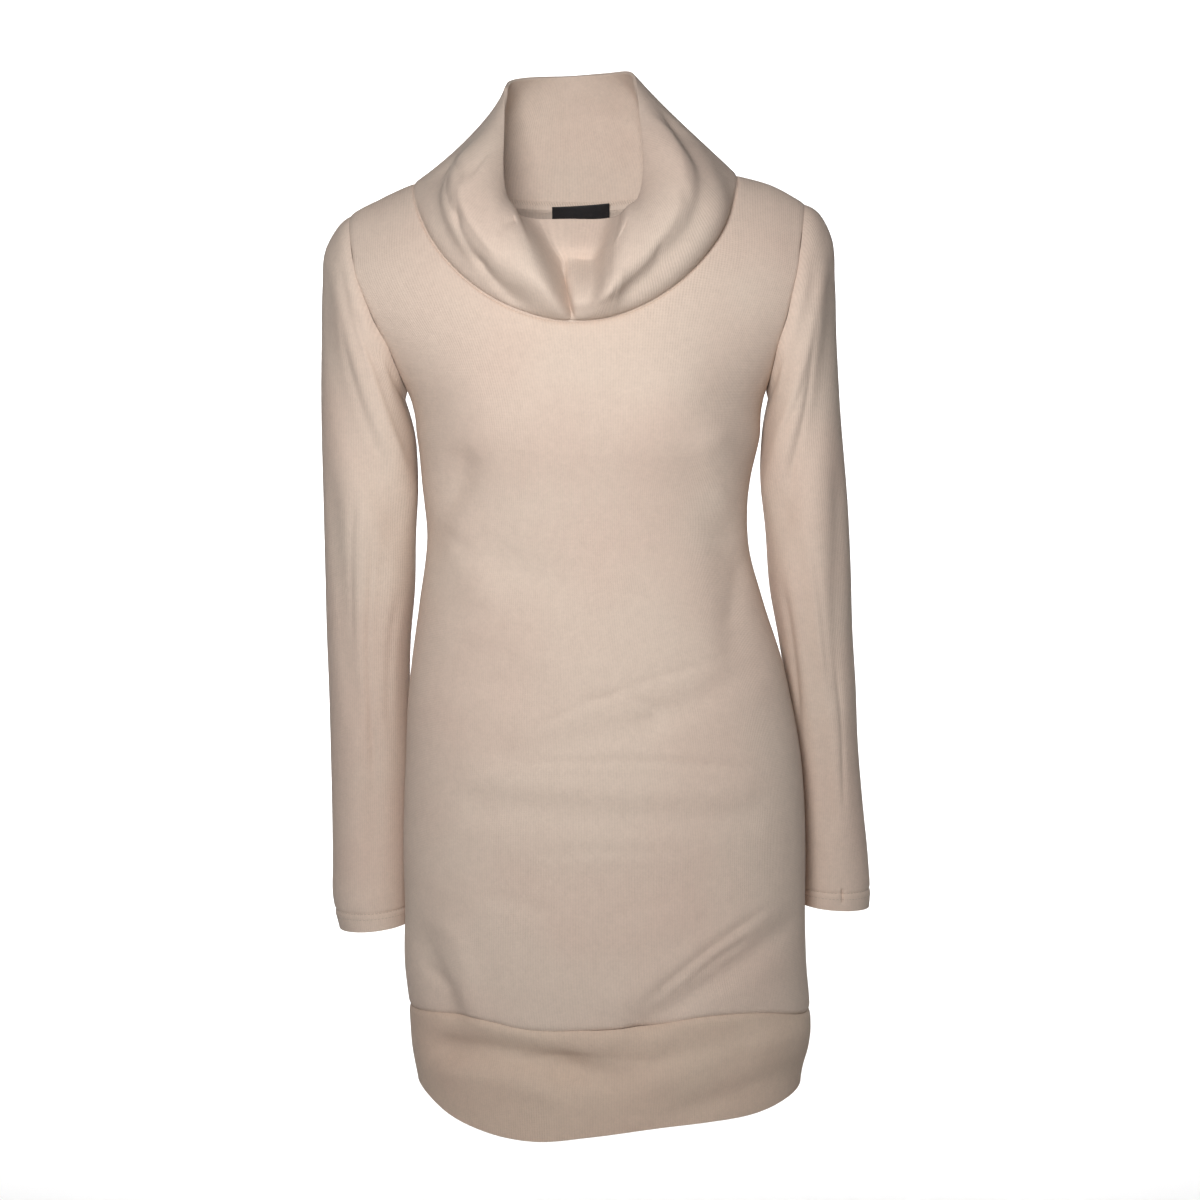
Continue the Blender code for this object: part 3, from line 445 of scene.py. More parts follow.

# Edges of a shell are rounded where they are sharper than this, and no sheet's area is reckoned as a
# smaller share of its flat rectangle than this
SHARP_EDGE = math.radians(65)
LEAST_AREA_SHARE = 0.32

# Studio: what the camera looks at, and the floor that bends up into a wall
VIEW_AIM = np.array((0.0106, 0.0, -0.368))
SENSOR = 36
STUDIO_REACH, STUDIO_BEND_AT, STUDIO_BEND, STUDIO_WALL = 6.0, 1.6, 1.2, 5.0


def curve_through(keys, values, at):
    """A smooth curve through rows of values, read at any keys (cubic, slopes from the neighbours)."""
    slopes = np.gradient(values, keys, axis=0)
    index = np.clip(np.searchsorted(keys, at, side="right") - 1, 0, len(keys) - 2)
    step = keys[index + 1] - keys[index]
    part = np.clip((at - keys[index]) / step, 0.0, 1.0)
    shape = part.shape + (1,) * (values.ndim - 1)
    part, step = part.reshape(shape), step.reshape(shape)
    return (
        values[index] * (1 + 2 * part) * (1 - part) ** 2
        + slopes[index] * step * part * (1 - part) ** 2
        + values[index + 1] * part**2 * (3 - 2 * part)
        - slopes[index + 1] * step * part**2 * (1 - part)
    )


def read_table(table, at):
    """All columns of a table but its first, at any values of the first."""
    return curve_through(table[:, 0], table[:, 1:], at)


def fold_height(across, up, folds):
    """Sum of soft ridges and troughs. Each is highest along a line and fades like a bell beside it."""
    total = np.zeros_like(across)
    for start_across, start_up, end_across, end_up, width, height in folds:
        run, rise = end_across - start_across, end_up - start_up
        along = ((across - start_across) * run + (up - start_up) * rise) / (run**2 + rise**2)
        along = np.clip(along, 0.0, 1.0)
        away = np.hypot(across - start_across - along * run, up - start_up - along * rise)
        total += height * np.exp(-((away / width) ** 2))
    return total


def smooth(share):
    """A soft step from 0 at 0 to 1 at 1."""
    share = np.clip(share, 0, 1)
    return share * share * (3 - 2 * share)


def crease_height(across, up, creases):
    """Sum of creases: each fades like a bell beside its line, and its lean makes one side of it steeper.

    It also fades out towards its two ends, so that no crease stops dead.
    """
    total = np.zeros_like(across)
    for start_across, start_up, end_across, end_up, width, lean, height in creases:
        run, rise = end_across - start_across, end_up - start_up
        length = math.hypot(run, rise)
        along = ((across - start_across) * run + (up - start_up) * rise) / length**2
        side = ((up - start_up) * run - (across - start_across) * rise) / length
        bow = side - CREASE_BOW * length * np.sin(np.pi * along.clip(0, 1))
        spread = width * np.where(bow > 0, 1 + lean, 1 - lean)
        fade = smooth(along / CREASE_FADE) * smooth((1 - along) / CREASE_FADE)
        total += height * np.exp(-((bow / spread) ** 2)) * fade
    return total


def all_round(height_of, turn, up, lines, whole):
    """The height of folds or creases on a tube, where a turn that is whole comes back to its start."""
    return sum(height_of(turn + shift, up, lines) for shift in (-whole, 0.0, whole))


def ridge_height(x):
    """The height of the shoulder ridge at places across the body."""
    return read_table(RIDGE, x)[..., 0]


def across_of(x, level):
    """The place across the body at which its cloth has this x."""
    left, right = np.moveaxis(read_table(SECTIONS, level), -1, 0)[:2]
    return np.arcsin(((2 * x - left - right) / (right - left)).clip(-1, 1)) * 2 / np.pi


def x_of(across, level):
    """The x of the cloth at a place across the body: between its sides, by the sine of the place."""
    left, right = np.moveaxis(read_table(SECTIONS, level), -1, 0)[:2]
    return (left + right) / 2 + (right - left) / 2 * np.sin(across * np.pi / 2)


def body_point(across, level, face):
    """A point of the body's cloth. Across goes from -1 to 1, face is -1 in front and 1 behind."""
    front, back = np.moveaxis(read_table(SECTIONS, level), -1, 0)[2:]
    angle = across * np.pi / 2
    x = x_of(across, level)
    over = np.clip(1 - level / CHEST_LEVEL, 0.0, 1.0) * np.pi / 2
    above = (ridge_height(x) - CHEST_LEVEL) * np.sin(over)
    z = np.where(level < CHEST_LEVEL, level, CHEST_LEVEL + above)
    depth = np.where(face < 0, front, back)
    y = face * depth * np.cos(angle).clip(0) ** SIDE_FULLNESS * np.cos(over).clip(0) ** SHOULDER_FULLNESS
    fold = fold_height(x, z, FRONT_FOLDS) if face < 0 else fold_height(x, z, BACK_FOLDS)
    aside = fold * np.sin(angle) * np.abs(np.cos(angle))
    return np.stack((x + aside, y + face * fold * np.cos(angle), z), -1)


def neckline(place, face, inset=0.0):
    """(across, level) on the neckline, for places from -1 at the left of the neck to 1 at the right.

    An inset draws it in, past the edge of the panels, and less than 0 draws it out over them.
    """
    ends_x = np.array((NECK_LEFT + inset, NECK_RIGHT - inset))
    x = ends_x.mean() + (ends_x[1] - ends_x[0]) / 2 * place
    ends = ridge_height(ends_x)
    top = ends[0] + (ends[1] - ends[0]) * (place + 1) / 2
    low = (FRONT_NECK_LOW if face < 0 else BACK_NECK_LOW) + inset
    z = top - (top - low) * (1 - place**2).clip(0) ** NECK_SCOOP_POWER
    over = np.arcsin(((z - CHEST_LEVEL) / (ridge_height(x) - CHEST_LEVEL)).clip(-1, 1))
    level = CHEST_LEVEL * (1 - over * 2 / np.pi)
    return across_of(x, level), level


def neck_places(steps):
    """Places along a neckline at a panel's columns, closer together towards the middle."""
    share = np.linspace(-1, 1, steps + 1)
    turn = NECK_STEP_EVENNESS * share + (1 - NECK_STEP_EVENNESS) * share**3
    return np.sin(turn * np.pi / 2)


def armhole_level(turn):
    """The level at a turn round an armhole: 0 is the shoulder, 0.5 is below the arm."""
    return UNDER_ARM_LEVEL * (1 - np.cos(turn * 2 * np.pi)) / 2


def relaxed(grid):
    """Inner points drawn towards their neighbours' mean, with weights that keep the lines from crossing."""
    above, below = grid[2:, 1:-1], grid[:-2, 1:-1]
    after, before = grid[1:-1, 2:], grid[1:-1, :-2]
    rise, run = (above - below) * GRID_SCALE, (after - before) * GRID_SCALE
    along = np.sum(run * run, -1, keepdims=True)
    across = np.sum(rise * rise, -1, keepdims=True)
    skew = np.sum(run * rise, -1, keepdims=True)
    corners = grid[2:, 2:] - grid[2:, :-2] - grid[:-2, 2:] + grid[:-2, :-2]
    drawn = across * (after + before) + along * (above + below) - skew * corners / 2
    return drawn / (2 * (across + along))


def armhole_point(turn, side, inside=1.0):
    """A point of an armhole: turn 0 is the shoulder, 0.25 the front, 0.5 below the arm.

    Inside 1 is the edge, and less is on the panel beside it.
    """
    level = armhole_level(turn)
    across = side * read_table(ARMHOLE, level)[..., 0] * inside
    front, back = body_point(across, level, -1), body_point(across, level, 1)
    return np.where((turn < 0.5)[..., None], front, back)


def unit(vectors):
    """Vectors divided by their own lengths."""
    return vectors / np.linalg.norm(vectors, axis=-1, keepdims=True)


def armhole_way(turn, side):
    """The way that a panel's cloth points past its armhole, turned straight out below the arm."""
    hole = armhole_point(turn, side)
    along = unit(armhole_point((turn + 0.01) % 1, side) - armhole_point((turn - 0.01) % 1, side))
    out = hole - armhole_point(turn, side, 0.85)
    out -= np.sum(out * along, axis=-1, keepdims=True) * along
    below = np.exp(-(((turn - 0.5) / UNDER_ARM_TURN) ** 2))[..., None]
    return unit(unit(out) * (1 - below) + np.array((side, 0.0, 0.0)) * below)


def round_collar(station):
    """Metres round the collar at a station, measured half way up its wall."""
    places = (COLLAR_STATIONS[:, 1:3] + COLLAR_STATIONS[:, 4:6]) / 2
    metres = np.append(0.0, np.cumsum(np.linalg.norm(np.diff(places, axis=0), axis=1)))
    return np.interp(station, np.arange(len(metres)), metres)


def settings():
    """The sizes and colours of the cloth that the panel shows."""
    return bpy.context.scene.dress_cloth


def positions(steps, fine, edge=EDGE_PLACES, both=True):
    """Places along a grid's steps: fine ones in each step, and closer together beside the ends."""
    inner = np.linspace(edge[-1], steps - (edge[-1] if both else 0), int(fine * steps))[1:]
    ends = steps - np.array(edge)[::-1] if both else []
    return np.concatenate((edge, inner[:-1] if both else inner, ends))


def refined(grid, rows_at, columns_at):
    """A smooth grid through every point of a coarse one, read at places along its rows and columns."""
    grid = curve_through(np.arange(grid.shape[0] * 1.0), grid, rows_at)
    grid = curve_through(np.arange(grid.shape[1] * 1.0), np.moveaxis(grid, 1, 0), columns_at)
    return np.moveaxis(grid, 1, 0)


def panel_grid(face):
    """(across, level) at each row and column of a body panel, spread evenly between its edges."""
    neck_steps, side_rows, hem_table = (
        (FRONT_NECK_STEPS, FRONT_SIDE_ROWS, FRONT_HEM) if face < 0
        else (BACK_NECK_STEPS, BACK_SIDE_ROWS, BACK_HEM)
    )
    foot_across = np.linspace(-1, 1, neck_steps + 2 * SHOULDER_STEPS + 1)
    foot_level = read_table(hem_table, np.sin(foot_across * np.pi / 2))[:, 0]
    armhole = armhole_level(np.linspace(0.5, 0, ARMHOLE_STEPS + 1)[1:])
    side_across = np.append(np.ones(side_rows + 1), read_table(ARMHOLE, armhole)[:, 0])
    left, right = (
        np.stack((
            side * side_across, np.append(np.linspace(start, UNDER_ARM_LEVEL, side_rows + 1), armhole),
        ), -1)
        for side, start in ((-1, foot_level[0]), (1, foot_level[-1]))
    )
    neck_across, neck_level = neckline(neck_places(neck_steps), face)
    outer = side_across[-1]
    across = np.concatenate((
        np.linspace(-outer, neck_across[0], SHOULDER_STEPS + 1)[:-1], neck_across,
        np.linspace(neck_across[-1], outer, SHOULDER_STEPS + 1)[1:],
    ))
    top = np.stack((across, np.pad(neck_level, SHOULDER_STEPS)), -1)
    foot = np.stack((foot_across, foot_level), -1)
    up = np.linspace(0, 1, len(left))[:, None, None]
    aside = np.linspace(0, 1, len(foot))[None, :, None]
    grid = (1 - up) * foot + up * top + (1 - aside) * left[:, None] + aside * right[:, None]
    for share, row in ((1 - up, foot), (up, top)):
        grid -= share * ((1 - aside) * row[0] + aside * row[-1])
    for _ in range(RELAXING_STEPS):
        grid[1:-1, 1:-1] = relaxed(grid)
    return grid


def normals_of(points, closed=False):
    """The unit normal at each point of a grid, from its neighbours' differences."""
    if closed:
        wrapped = np.concatenate((points[:, -2:-1], points, points[:, 1:2]), 1)
        along = wrapped[:, 2:] - wrapped[:, :-2]
    else:
        along = np.gradient(points, axis=1)
    return unit(np.cross(along, np.gradient(points, axis=0)) + 1e-12)


def tucked(points, closed, *edges):
    """Cloth turned in beside its sewn edges: it sinks like a bell as its distance to an edge falls.

    Each edge is (row or column index, axis, depth, width), with the distance measured in a
    straight line to the edge's point in the same column or row.
    """
    sink = np.zeros(points.shape[:2])
    for index, axis, depth, width in edges:
        edge = np.take(points, [index], axis=axis)
        away = np.linalg.norm(points - edge, axis=-1)
        sink = np.maximum(sink, depth * np.exp(-((away / width) ** 1.5)))
    return points - normals_of(points, closed) * sink[..., None]


def panel_points(face):
    """A body panel's surface, in rows from the hem to the shoulders, and its map of the knit.

    It is the body's form at each (across, level), with the folds of the part and finer creases
    added along the form's own normal, and its sewn edges turned in.
    """
    grid = panel_grid(face)
    fine = refined(grid, positions(grid.shape[0] - 1, PANEL_FINE), positions(grid.shape[1] - 1, PANEL_FINE))
    across, level = np.moveaxis(fine, -1, 0)
    points = body_point(across, level, face)
    creases = FRONT_CREASES if face < 0 else BACK_CREASES
    lift = crease_height(points[..., 0], points[..., 2], creases) * settings().crease_depth
    outward = normals_of(points if face < 0 else points[:, ::-1])
    outward = outward if face < 0 else outward[:, ::-1]
    points = points + outward * lift[..., None]
    knit = np.stack((across * KNIT_HALF_WIDTH, level), -1)
    if face > 0:
        points, knit = points[:, ::-1], knit[:, ::-1]
    neck_edge = (-1, 0, *(NECK_TUCK if face < 0 else BACK_NECK_TUCK))
    side_edges = (0, 1, *SIDE_TUCK), (-1, 1, *SIDE_TUCK)
    return tucked(points, False, (0, 0, *HEM_TUCK), neck_edge, *side_edges), knit


def sleeve_points(side, rings):
    """A sleeve's surface from cuff to armhole: elliptic rings between its outer and inner edges.

    Beside the armhole the rings are led into its edge, and creases swell or sink along the
    ring's own radius. The turned-up hem stands proud below its stitch line.
    """
    rows_at = np.unique(np.concatenate((positions(SLEEVE_ROWS, SLEEVE_FINE), CUFF_PLACES)))
    turns = np.linspace(0, 1, SLEEVE_TURNS + 1)
    turn, v = np.meshgrid(turns, rows_at / SLEEVE_ROWS)
    hole = armhole_point(turn % 1, side)
    every = armhole_point(np.linspace(0, 1, 33)[:-1], side)
    top, low = every[0], every[16]
    first = np.array((top[0], top[2], low[0], low[2], every[:, 1].min(), every[:, 1].max()))
    table = np.vstack((first, rings))
    lengths = np.hypot(np.diff(table[:, 0] + table[:, 2]), np.diff(table[:, 1] + table[:, 3])) / 2
    keys = np.concatenate(([0.0], np.cumsum(lengths)))
    down = (1 - v) * keys[-1]

    def ring(columns, lift):
        outer_x, outer_z, inner_x, inner_z, front_y, back_y = np.moveaxis(columns, -1, 0)
        angle = turn * 2 * np.pi
        out = (1 + np.cos(angle)) / 2
        x = inner_x + (outer_x - inner_x) * out + side * lift * np.cos(angle)
        y = (front_y + back_y) / 2 - ((back_y - front_y) / 2 + lift) * np.sin(angle)
        return np.stack((x, y, inner_z + (outer_z - inner_z) * out), -1)

    lift = all_round(fold_height, turn, 1 - v, SLEEVE_FOLDS, 1.0) * np.sin(np.pi * v) ** 0.5
    creases = SLEEVE_CREASES_WEARERS_RIGHT if side < 0 else SLEEVE_CREASES_WEARERS_LEFT
    lift += all_round(crease_height, turn, 1 - v, creases, 1.0) * settings().crease_depth
    from_cuff = v * keys[-1]
    lift += CUFF_PROUD * (1 - smooth((from_cuff - CUFF_HEM + CUFF_PROUD_FADE) / (2 * CUFF_PROUD_FADE)))
    lift -= CUFF_GROOVE * np.exp(-(((from_cuff - CUFF_HEM) / CUFF_GROOVE_WIDTH) ** 2))
    way = armhole_way(turn % 1, side)
    below = np.exp(-(((turn - 0.5) / UNDER_ARM_TURN) ** 2))[..., None]
    start = hole + way * (SEAM_GAP + CLOTH * 0.6 * below)
    lead = np.exp(-((down / ARMHOLE_LEAD) ** 2))[..., None]
    points = ring(curve_through(keys, table, down), lift) + lead * (start - ring(first, 0.0))
    knit = np.stack((turn * KNIT_SLEEVE_ROUND, -down), -1)
    if side > 0:
        points, knit = points[:, ::-1], knit[:, ::-1]
    return tucked(points, True, (-1, 0, *SIDE_TUCK)), knit


def neck_seam(turn, inset):
    """The neckline all round: turn 0 is the left of the neck, 0.25 the front, 0.75 the back."""
    front_places, back_places = neck_places(FRONT_NECK_STEPS), neck_places(BACK_NECK_STEPS)[::-1]
    turns = (np.arccos(-front_places) / (2 * np.pi), 1 - np.arccos(-back_places) / (2 * np.pi))
    sides = []
    for face, places, at in ((-1, front_places, turns[0]), (1, back_places, turns[1])):
        edge, order = np.stack(neckline(places, face, inset), -1), np.arange(len(places) * 1.0)
        across, level = np.moveaxis(curve_through(order, edge, np.interp(turn, at, order)), -1, 0)
        sides.append(body_point(across, level, face))
    return np.where((turn < 0.5)[..., None], *sides)


def on_collar(table):
    """A table of folds or creases with its stations and shares turned to metres on the wall."""
    table = table.copy()
    table[:, 0:4:2] = round_collar(table[:, 0:4:2])
    table[:, 1:4:2] *= COLLAR_HEIGHT
    return table


def collar_points():
    """The collar's surface from its seam to its soft upper edge.

    Each station round the neck is a Bezier curve from the seam, out towards two places, to the
    edge. Folds and creases move it along the line from a place inside the collar. Its seam turns in
    less behind the neck. The knit's map is measured in metres round the collar.
    """
    stations = len(COLLAR_STATIONS) - 1
    rows_at = positions(COLLAR_ROWS, COLLAR_FINE, both=False)
    u, v = np.meshgrid(np.linspace(0, 1, COLLAR_TURNS + 1), rows_at / COLLAR_ROWS)
    at = u * stations
    columns = curve_through(np.arange(stations + 1.0), COLLAR_STATIONS, at)
    turn = columns[..., 0].clip(0, 1)
    low, high, edge = columns[..., 1:4], columns[..., 4:7], columns[..., 7:10]
    seam_row, strip_row = neck_seam(turn, SEAM_GAP), neck_seam(turn, SEAM_STRIP)
    up = ((v * COLLAR_ROWS - 1) / (COLLAR_ROWS - 1)).clip(0, 1)
    t = up[..., None]
    wall = (1 - t) ** 3 * strip_row + 3 * t * (1 - t) ** 2 * low
    wall += 3 * t**2 * (1 - t) * high + t**3 * edge
    away = unit((wall - COLLAR_MIDDLE) * (1.0, 1.0, COLLAR_LIFT))
    place, whole = round_collar(at), round_collar(stations)
    folds = all_round(fold_height, place, up * COLLAR_HEIGHT, on_collar(COLLAR_FOLDS), whole)
    creases = all_round(crease_height, place, up * COLLAR_HEIGHT, on_collar(COLLAR_CREASES), whole)
    creases *= smooth(up / COLLAR_CREASE_FADE) * settings().crease_depth
    lift = folds * np.sin(np.pi * up) ** 0.5 + creases
    wall += away * lift[..., None]
    first = (v * COLLAR_ROWS).clip(0, 1)[..., None]
    points = np.where(first < 1, seam_row + (strip_row - seam_row) * first, wall)
    knit = np.stack((place / whole * KNIT_COLLAR_ROUND, up * KNIT_COLLAR_HEIGHT), -1)
    behind = smooth((turn - 0.5) / BEHIND_NECK_FADE) * smooth((1 - turn) / BEHIND_NECK_FADE)
    depth = NECK_TUCK[0] + (BACK_NECK_TUCK[0] - NECK_TUCK[0]) * behind[0]
    return tucked(points, True, (0, 0, depth, NECK_TUCK[1])), knit


def seam_strip(points, knit):
    """The overlocked edge of the neck seam: a narrow strip along the inside of the collar's back.

    It follows the collar's own surface there, a little towards the neck, from just above the
    seam to the strip's height, at even places along the seam. Its belly follows a sine. Its points,
    its map of the knit and the way inward at each point are given back.
    """
    outward = normals_of(points, True)
    rise = np.cumsum(np.linalg.norm(np.diff(points, axis=0, prepend=points[:1]), axis=-1), 0)
    round_neck = knit[0, :, 0] / KNIT_COLLAR_ROUND
    at = np.linspace(*OVERLOCK_TURNS, OVERLOCK_RIBS)
    heights = np.linspace(*OVERLOCK_RISE, OVERLOCK_ROWS)
    column = np.interp(at, round_neck, np.arange(len(round_neck)))
    left, share = column.astype(int), (column % 1)[:, None]

    def at_height(values):
        rows = np.array([
            [np.interp(heights, rise[:, place], values[:, place, axis]) for axis in range(3)]
            for place in (*left, *left + 1)
        ]).swapaxes(1, 2).reshape(2, len(at), len(heights), 3)
        return (rows[0] * (1 - share)[:, None] + rows[1] * share[:, None]).transpose(1, 0, 2)

    inward = -unit(at_height(outward))
    belly = OVERLOCK_PROUD * np.sin(np.linspace(0.15, 0.8, len(heights)) * np.pi)[:, None, None]
    strip = at_height(points) + inward * (DOUBLED_CLOTH / 2 + OVERLOCK_CLOTH / 2 + OVERLOCK_GAP + belly)
    along = np.broadcast_to(at * KNIT_COLLAR_ROUND, strip.shape[:2])
    return strip, np.stack((along, np.broadcast_to(heights[:, None], along.shape)), -1), inward


def band_points():
    """The hem band's surface: the body's form between its lower edge and its seam, all round.

    Creases move it along its own normal, and its seam turns in.
    """
    rows_at = positions(BAND_ROWS, BAND_FINE)
    u, v = np.meshgrid(np.linspace(0, 1, BAND_TURNS + 1), rows_at / BAND_ROWS)
    turn = u * 2
    in_front = turn < 1
    across = np.where(in_front, 2 * turn - 1, 3 - 2 * turn)
    turned = np.sin(across * np.pi / 2)
    hem = np.where(in_front[..., None], read_table(FRONT_HEM, turned), read_table(BACK_HEM, turned))
    level = hem[..., 1] + (hem[..., 0] - SEAM_GAP - hem[..., 1]) * v
    points = np.where(in_front[..., None], body_point(across, level, -1), body_point(across, level, 1))
    lift = all_round(crease_height, turn, level, BAND_CREASES, 2.0) * settings().crease_depth
    points = points + normals_of(points, True) * lift[..., None]
    knit = np.stack((u * 4 * KNIT_HALF_WIDTH, level), -1)
    return tucked(points, True, (-1, 0, *HEM_TUCK)), knit


def label_points():
    """The label's surface: the back panel's own, moved inward, from below the neck seam to above it.

    Its belly is a sine across the label and a flatter one down it.
    """
    u, v = np.meshgrid(*(np.linspace(0, 1, count) for count in LABEL_GRID))
    x = LABEL_CENTRE + LABEL_ASIDE + (u - 0.5) * LABEL_WIDTH
    seam_level = neckline((2 * x - NECK_LEFT - NECK_RIGHT) / (NECK_RIGHT - NECK_LEFT), 1)[1]
    level = seam_level + LABEL_OVER_SEAM + LABEL_RAISE + LABEL_TILT * (u - 0.5) - LABEL_HEIGHT * (1 - v)
    across = across_of(x, level)
    points = body_point(across, level, 1)
    beside = body_point(across + 0.01, level, 1) - points
    above = body_point(across, level + 0.001, 1) - points
    inward = unit(np.cross(beside, above))
    belly = LABEL_BELLY * np.sin(np.pi * u) * np.sin(np.pi * (1 - v).clip(0, 1)) ** 0.7
    return points + inward * (LABEL_INSET + LABEL_LIFT + belly)[..., None], np.stack((x, level), -1)


def grid_mesh(name, points, knit, closed):
    """A mesh of quads on a grid of points (rows, columns, 3), with the knit's map on every corner.

    A closed grid's last column is its first one, so that column is left out and its quads join up.
    """
    rows, columns = points.shape[:2]
    used = columns - 1 if closed else columns
    row, column = np.meshgrid(np.arange(rows - 1), np.arange(columns - 1), indexing="ij")
    corners = ((row, column), (row, column + 1), (row + 1, column + 1), (row + 1, column))
    faces = np.stack([r * used + c % used for r, c in corners], -1).reshape(-1, 4)
    places = np.stack([knit[r, c] for r, c in corners], -2).reshape(-1, 2)
    mesh = bpy.data.meshes.new(name)
    mesh.vertices.add(rows * used)
    mesh.vertices.foreach_set("co", points[:, :used].astype(np.float32).ravel())
    mesh.loops.add(faces.size)
    mesh.loops.foreach_set("vertex_index", faces.astype(np.int32).ravel())
    mesh.polygons.add(len(faces))
    mesh.polygons.foreach_set("loop_start", np.arange(0, faces.size, 4, dtype=np.int32))
    mesh.update(calc_edges=True)
    layer = mesh.uv_layers.new(name="knit")
    layer.data.foreach_set("uv", places.astype(np.float32).ravel())
    mesh.shade_smooth()
    mesh.validate()
    return mesh


def cloth_piece(name, points, knit, closed, wall, material, rounded=0.0):
    """A cloth shell on a grid of points, as thick as its wall, with its free edges rounded if a rounding is
    given.
    """
    mesh = grid_mesh(name, points, knit, closed)
    mesh.materials.append(material)
    piece = bpy.data.objects.new(name, mesh)
    bpy.context.scene.collection.objects.link(piece)
    solidify = piece.modifiers.new("Cloth wall", "SOLIDIFY")
    solidify.thickness = wall
    solidify.offset = 0.0
    if rounded:
        bevel = piece.modifiers.new("Soft edges", "BEVEL")
        bevel.width = rounded
        bevel.segments = 2
        bevel.limit_method = "ANGLE"
        bevel.angle_limit = SHARP_EDGE
    return piece


def sewn_on(piece):
    """The piece moves with the whole dress."""
    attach(piece, "root")


def dress_piece(piece, node):
    """The piece stands for its node of the part."""
    sewn_on(piece)
    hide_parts(node)


def area_of(points):
    """The area of a grid of points, as two triangles for each quad."""
    a, b, c, d = points[:-1, :-1], points[:-1, 1:], points[1:, 1:], points[1:, :-1]
    doubled = (np.linalg.norm(np.cross(one - a, two - a), axis=-1) for one, two in ((b, c), (c, d)))
    return float(sum(doubled).sum() / 2)


def sheet_of_cloth(points, flat):
    """The area of the grid of points, no less than a least share of a flat rectangle of that width and
    length and no more than the whole; it is not kept.
    """
    area = min(max(area_of(points), LEAST_AREA_SHARE * flat[0] * flat[1]), flat[0] * flat[1])


def stitches(name, starts, ends, outward, radius, material):
    """Many stitches, each a slim loaf from its start to its end, half sunk in the cloth.

    Each is five rings of six points round its own line, the rings' radius following a sine.
    """
    shares = np.linspace(0, 1, 5)[:, None]
    line = starts[:, None] + (ends - starts)[:, None] * shares
    aside = unit(np.cross(ends - starts, outward))[:, None, None]
    up = unit(outward)[:, None, None]
    bulge = (radius * (0.25 + 0.75 * np.sin(np.pi * shares)))[None, :, None]
    angle = np.linspace(0, 2 * np.pi, 7)[:-1, None]
    rings = line[:, :, None] + bulge * (np.cos(angle) * aside + np.sin(angle) * up)
    ring, place = np.meshgrid(np.arange(4), np.arange(6), indexing="ij")
    after = (place + 1) % 6
    one = np.stack((ring * 6 + place, (ring + 1) * 6 + place, (ring + 1) * 6 + after, ring * 6 + after), -1)
    shift = np.arange(len(starts))[:, None, None] * 30
    quads = (one.reshape(1, -1, 4) + shift).reshape(-1, 4)
    caps = (np.stack((np.arange(6), np.arange(24, 30)[::-1])) + shift).reshape(-1, 6)
    mesh = bpy.data.meshes.new(name)
    mesh.from_pydata(rings.reshape(-1, 3).tolist(), [], quads.tolist() + caps.tolist())
    mesh.shade_smooth()
    mesh.materials.append(material)
    piece = bpy.data.objects.new(name, mesh)
    bpy.context.scene.collection.objects.link(piece)
    return piece


def row_of_stitches(name, path, outward, length, gap, radius, material):
    """Stitches end to end along a path, with a gap after each."""
    run = np.append(0.0, np.cumsum(np.linalg.norm(np.diff(path, axis=0), axis=1)))
    start = np.arange(int(run[-1] // (length + gap))) * (length + gap) + gap / 2
    starts, ends, up = (
        np.stack([np.interp(at, run, values[:, axis]) for axis in range(3)], -1)
        for at, values in ((start, path), (start + length, path), (start + length / 2, outward))
    )
    return stitches(name, starts, ends, up, radius, material)


def filled(tree, node, **values):
    """The node with a value set or an output linked at each input: i2 is the third, Base_Color by name."""
    for key, value in values.items():
        place = int(key[1:]) if key[0] == "i" and key[1:].isdigit() else key.replace("_", " ")
        if isinstance(value, bpy.types.NodeSocket):
            tree.links.new(value, node.inputs[place])
        else:
            node.inputs[place].default_value = value
    return node


def linked(tree, kind, **values):
    """The first output of a new node with those inputs."""
    return filled(tree, tree.nodes.new(kind), **values).outputs[0]


def arithmetic(tree, operation, *values):
    """The result of one step of arithmetic on values or outputs."""
    node = tree.nodes.new("ShaderNodeMath")
    node.operation = operation
    return filled(tree, node, **{f"i{place}": value for place, value in enumerate(values)}).outputs[0]


def between(tree, share, first, second):
    """The colour between two, at a share from 0 to 1."""
    node = tree.nodes.new("ShaderNodeMix")
    node.data_type = "RGBA"
    return filled(tree, node, i0=share, i6=(*first, 1), i7=(*second, 1)).outputs[2]


def knit_place(tree):
    """The knit's own map, and its first and second place as numbers."""
    knit_map = tree.nodes.new("ShaderNodeUVMap")
    knit_map.uv_map = "knit"
    parts = filled(tree, tree.nodes.new("ShaderNodeSeparateXYZ"), i0=knit_map.outputs[0])
    return knit_map.outputs[0], parts.outputs[0], parts.outputs[1]


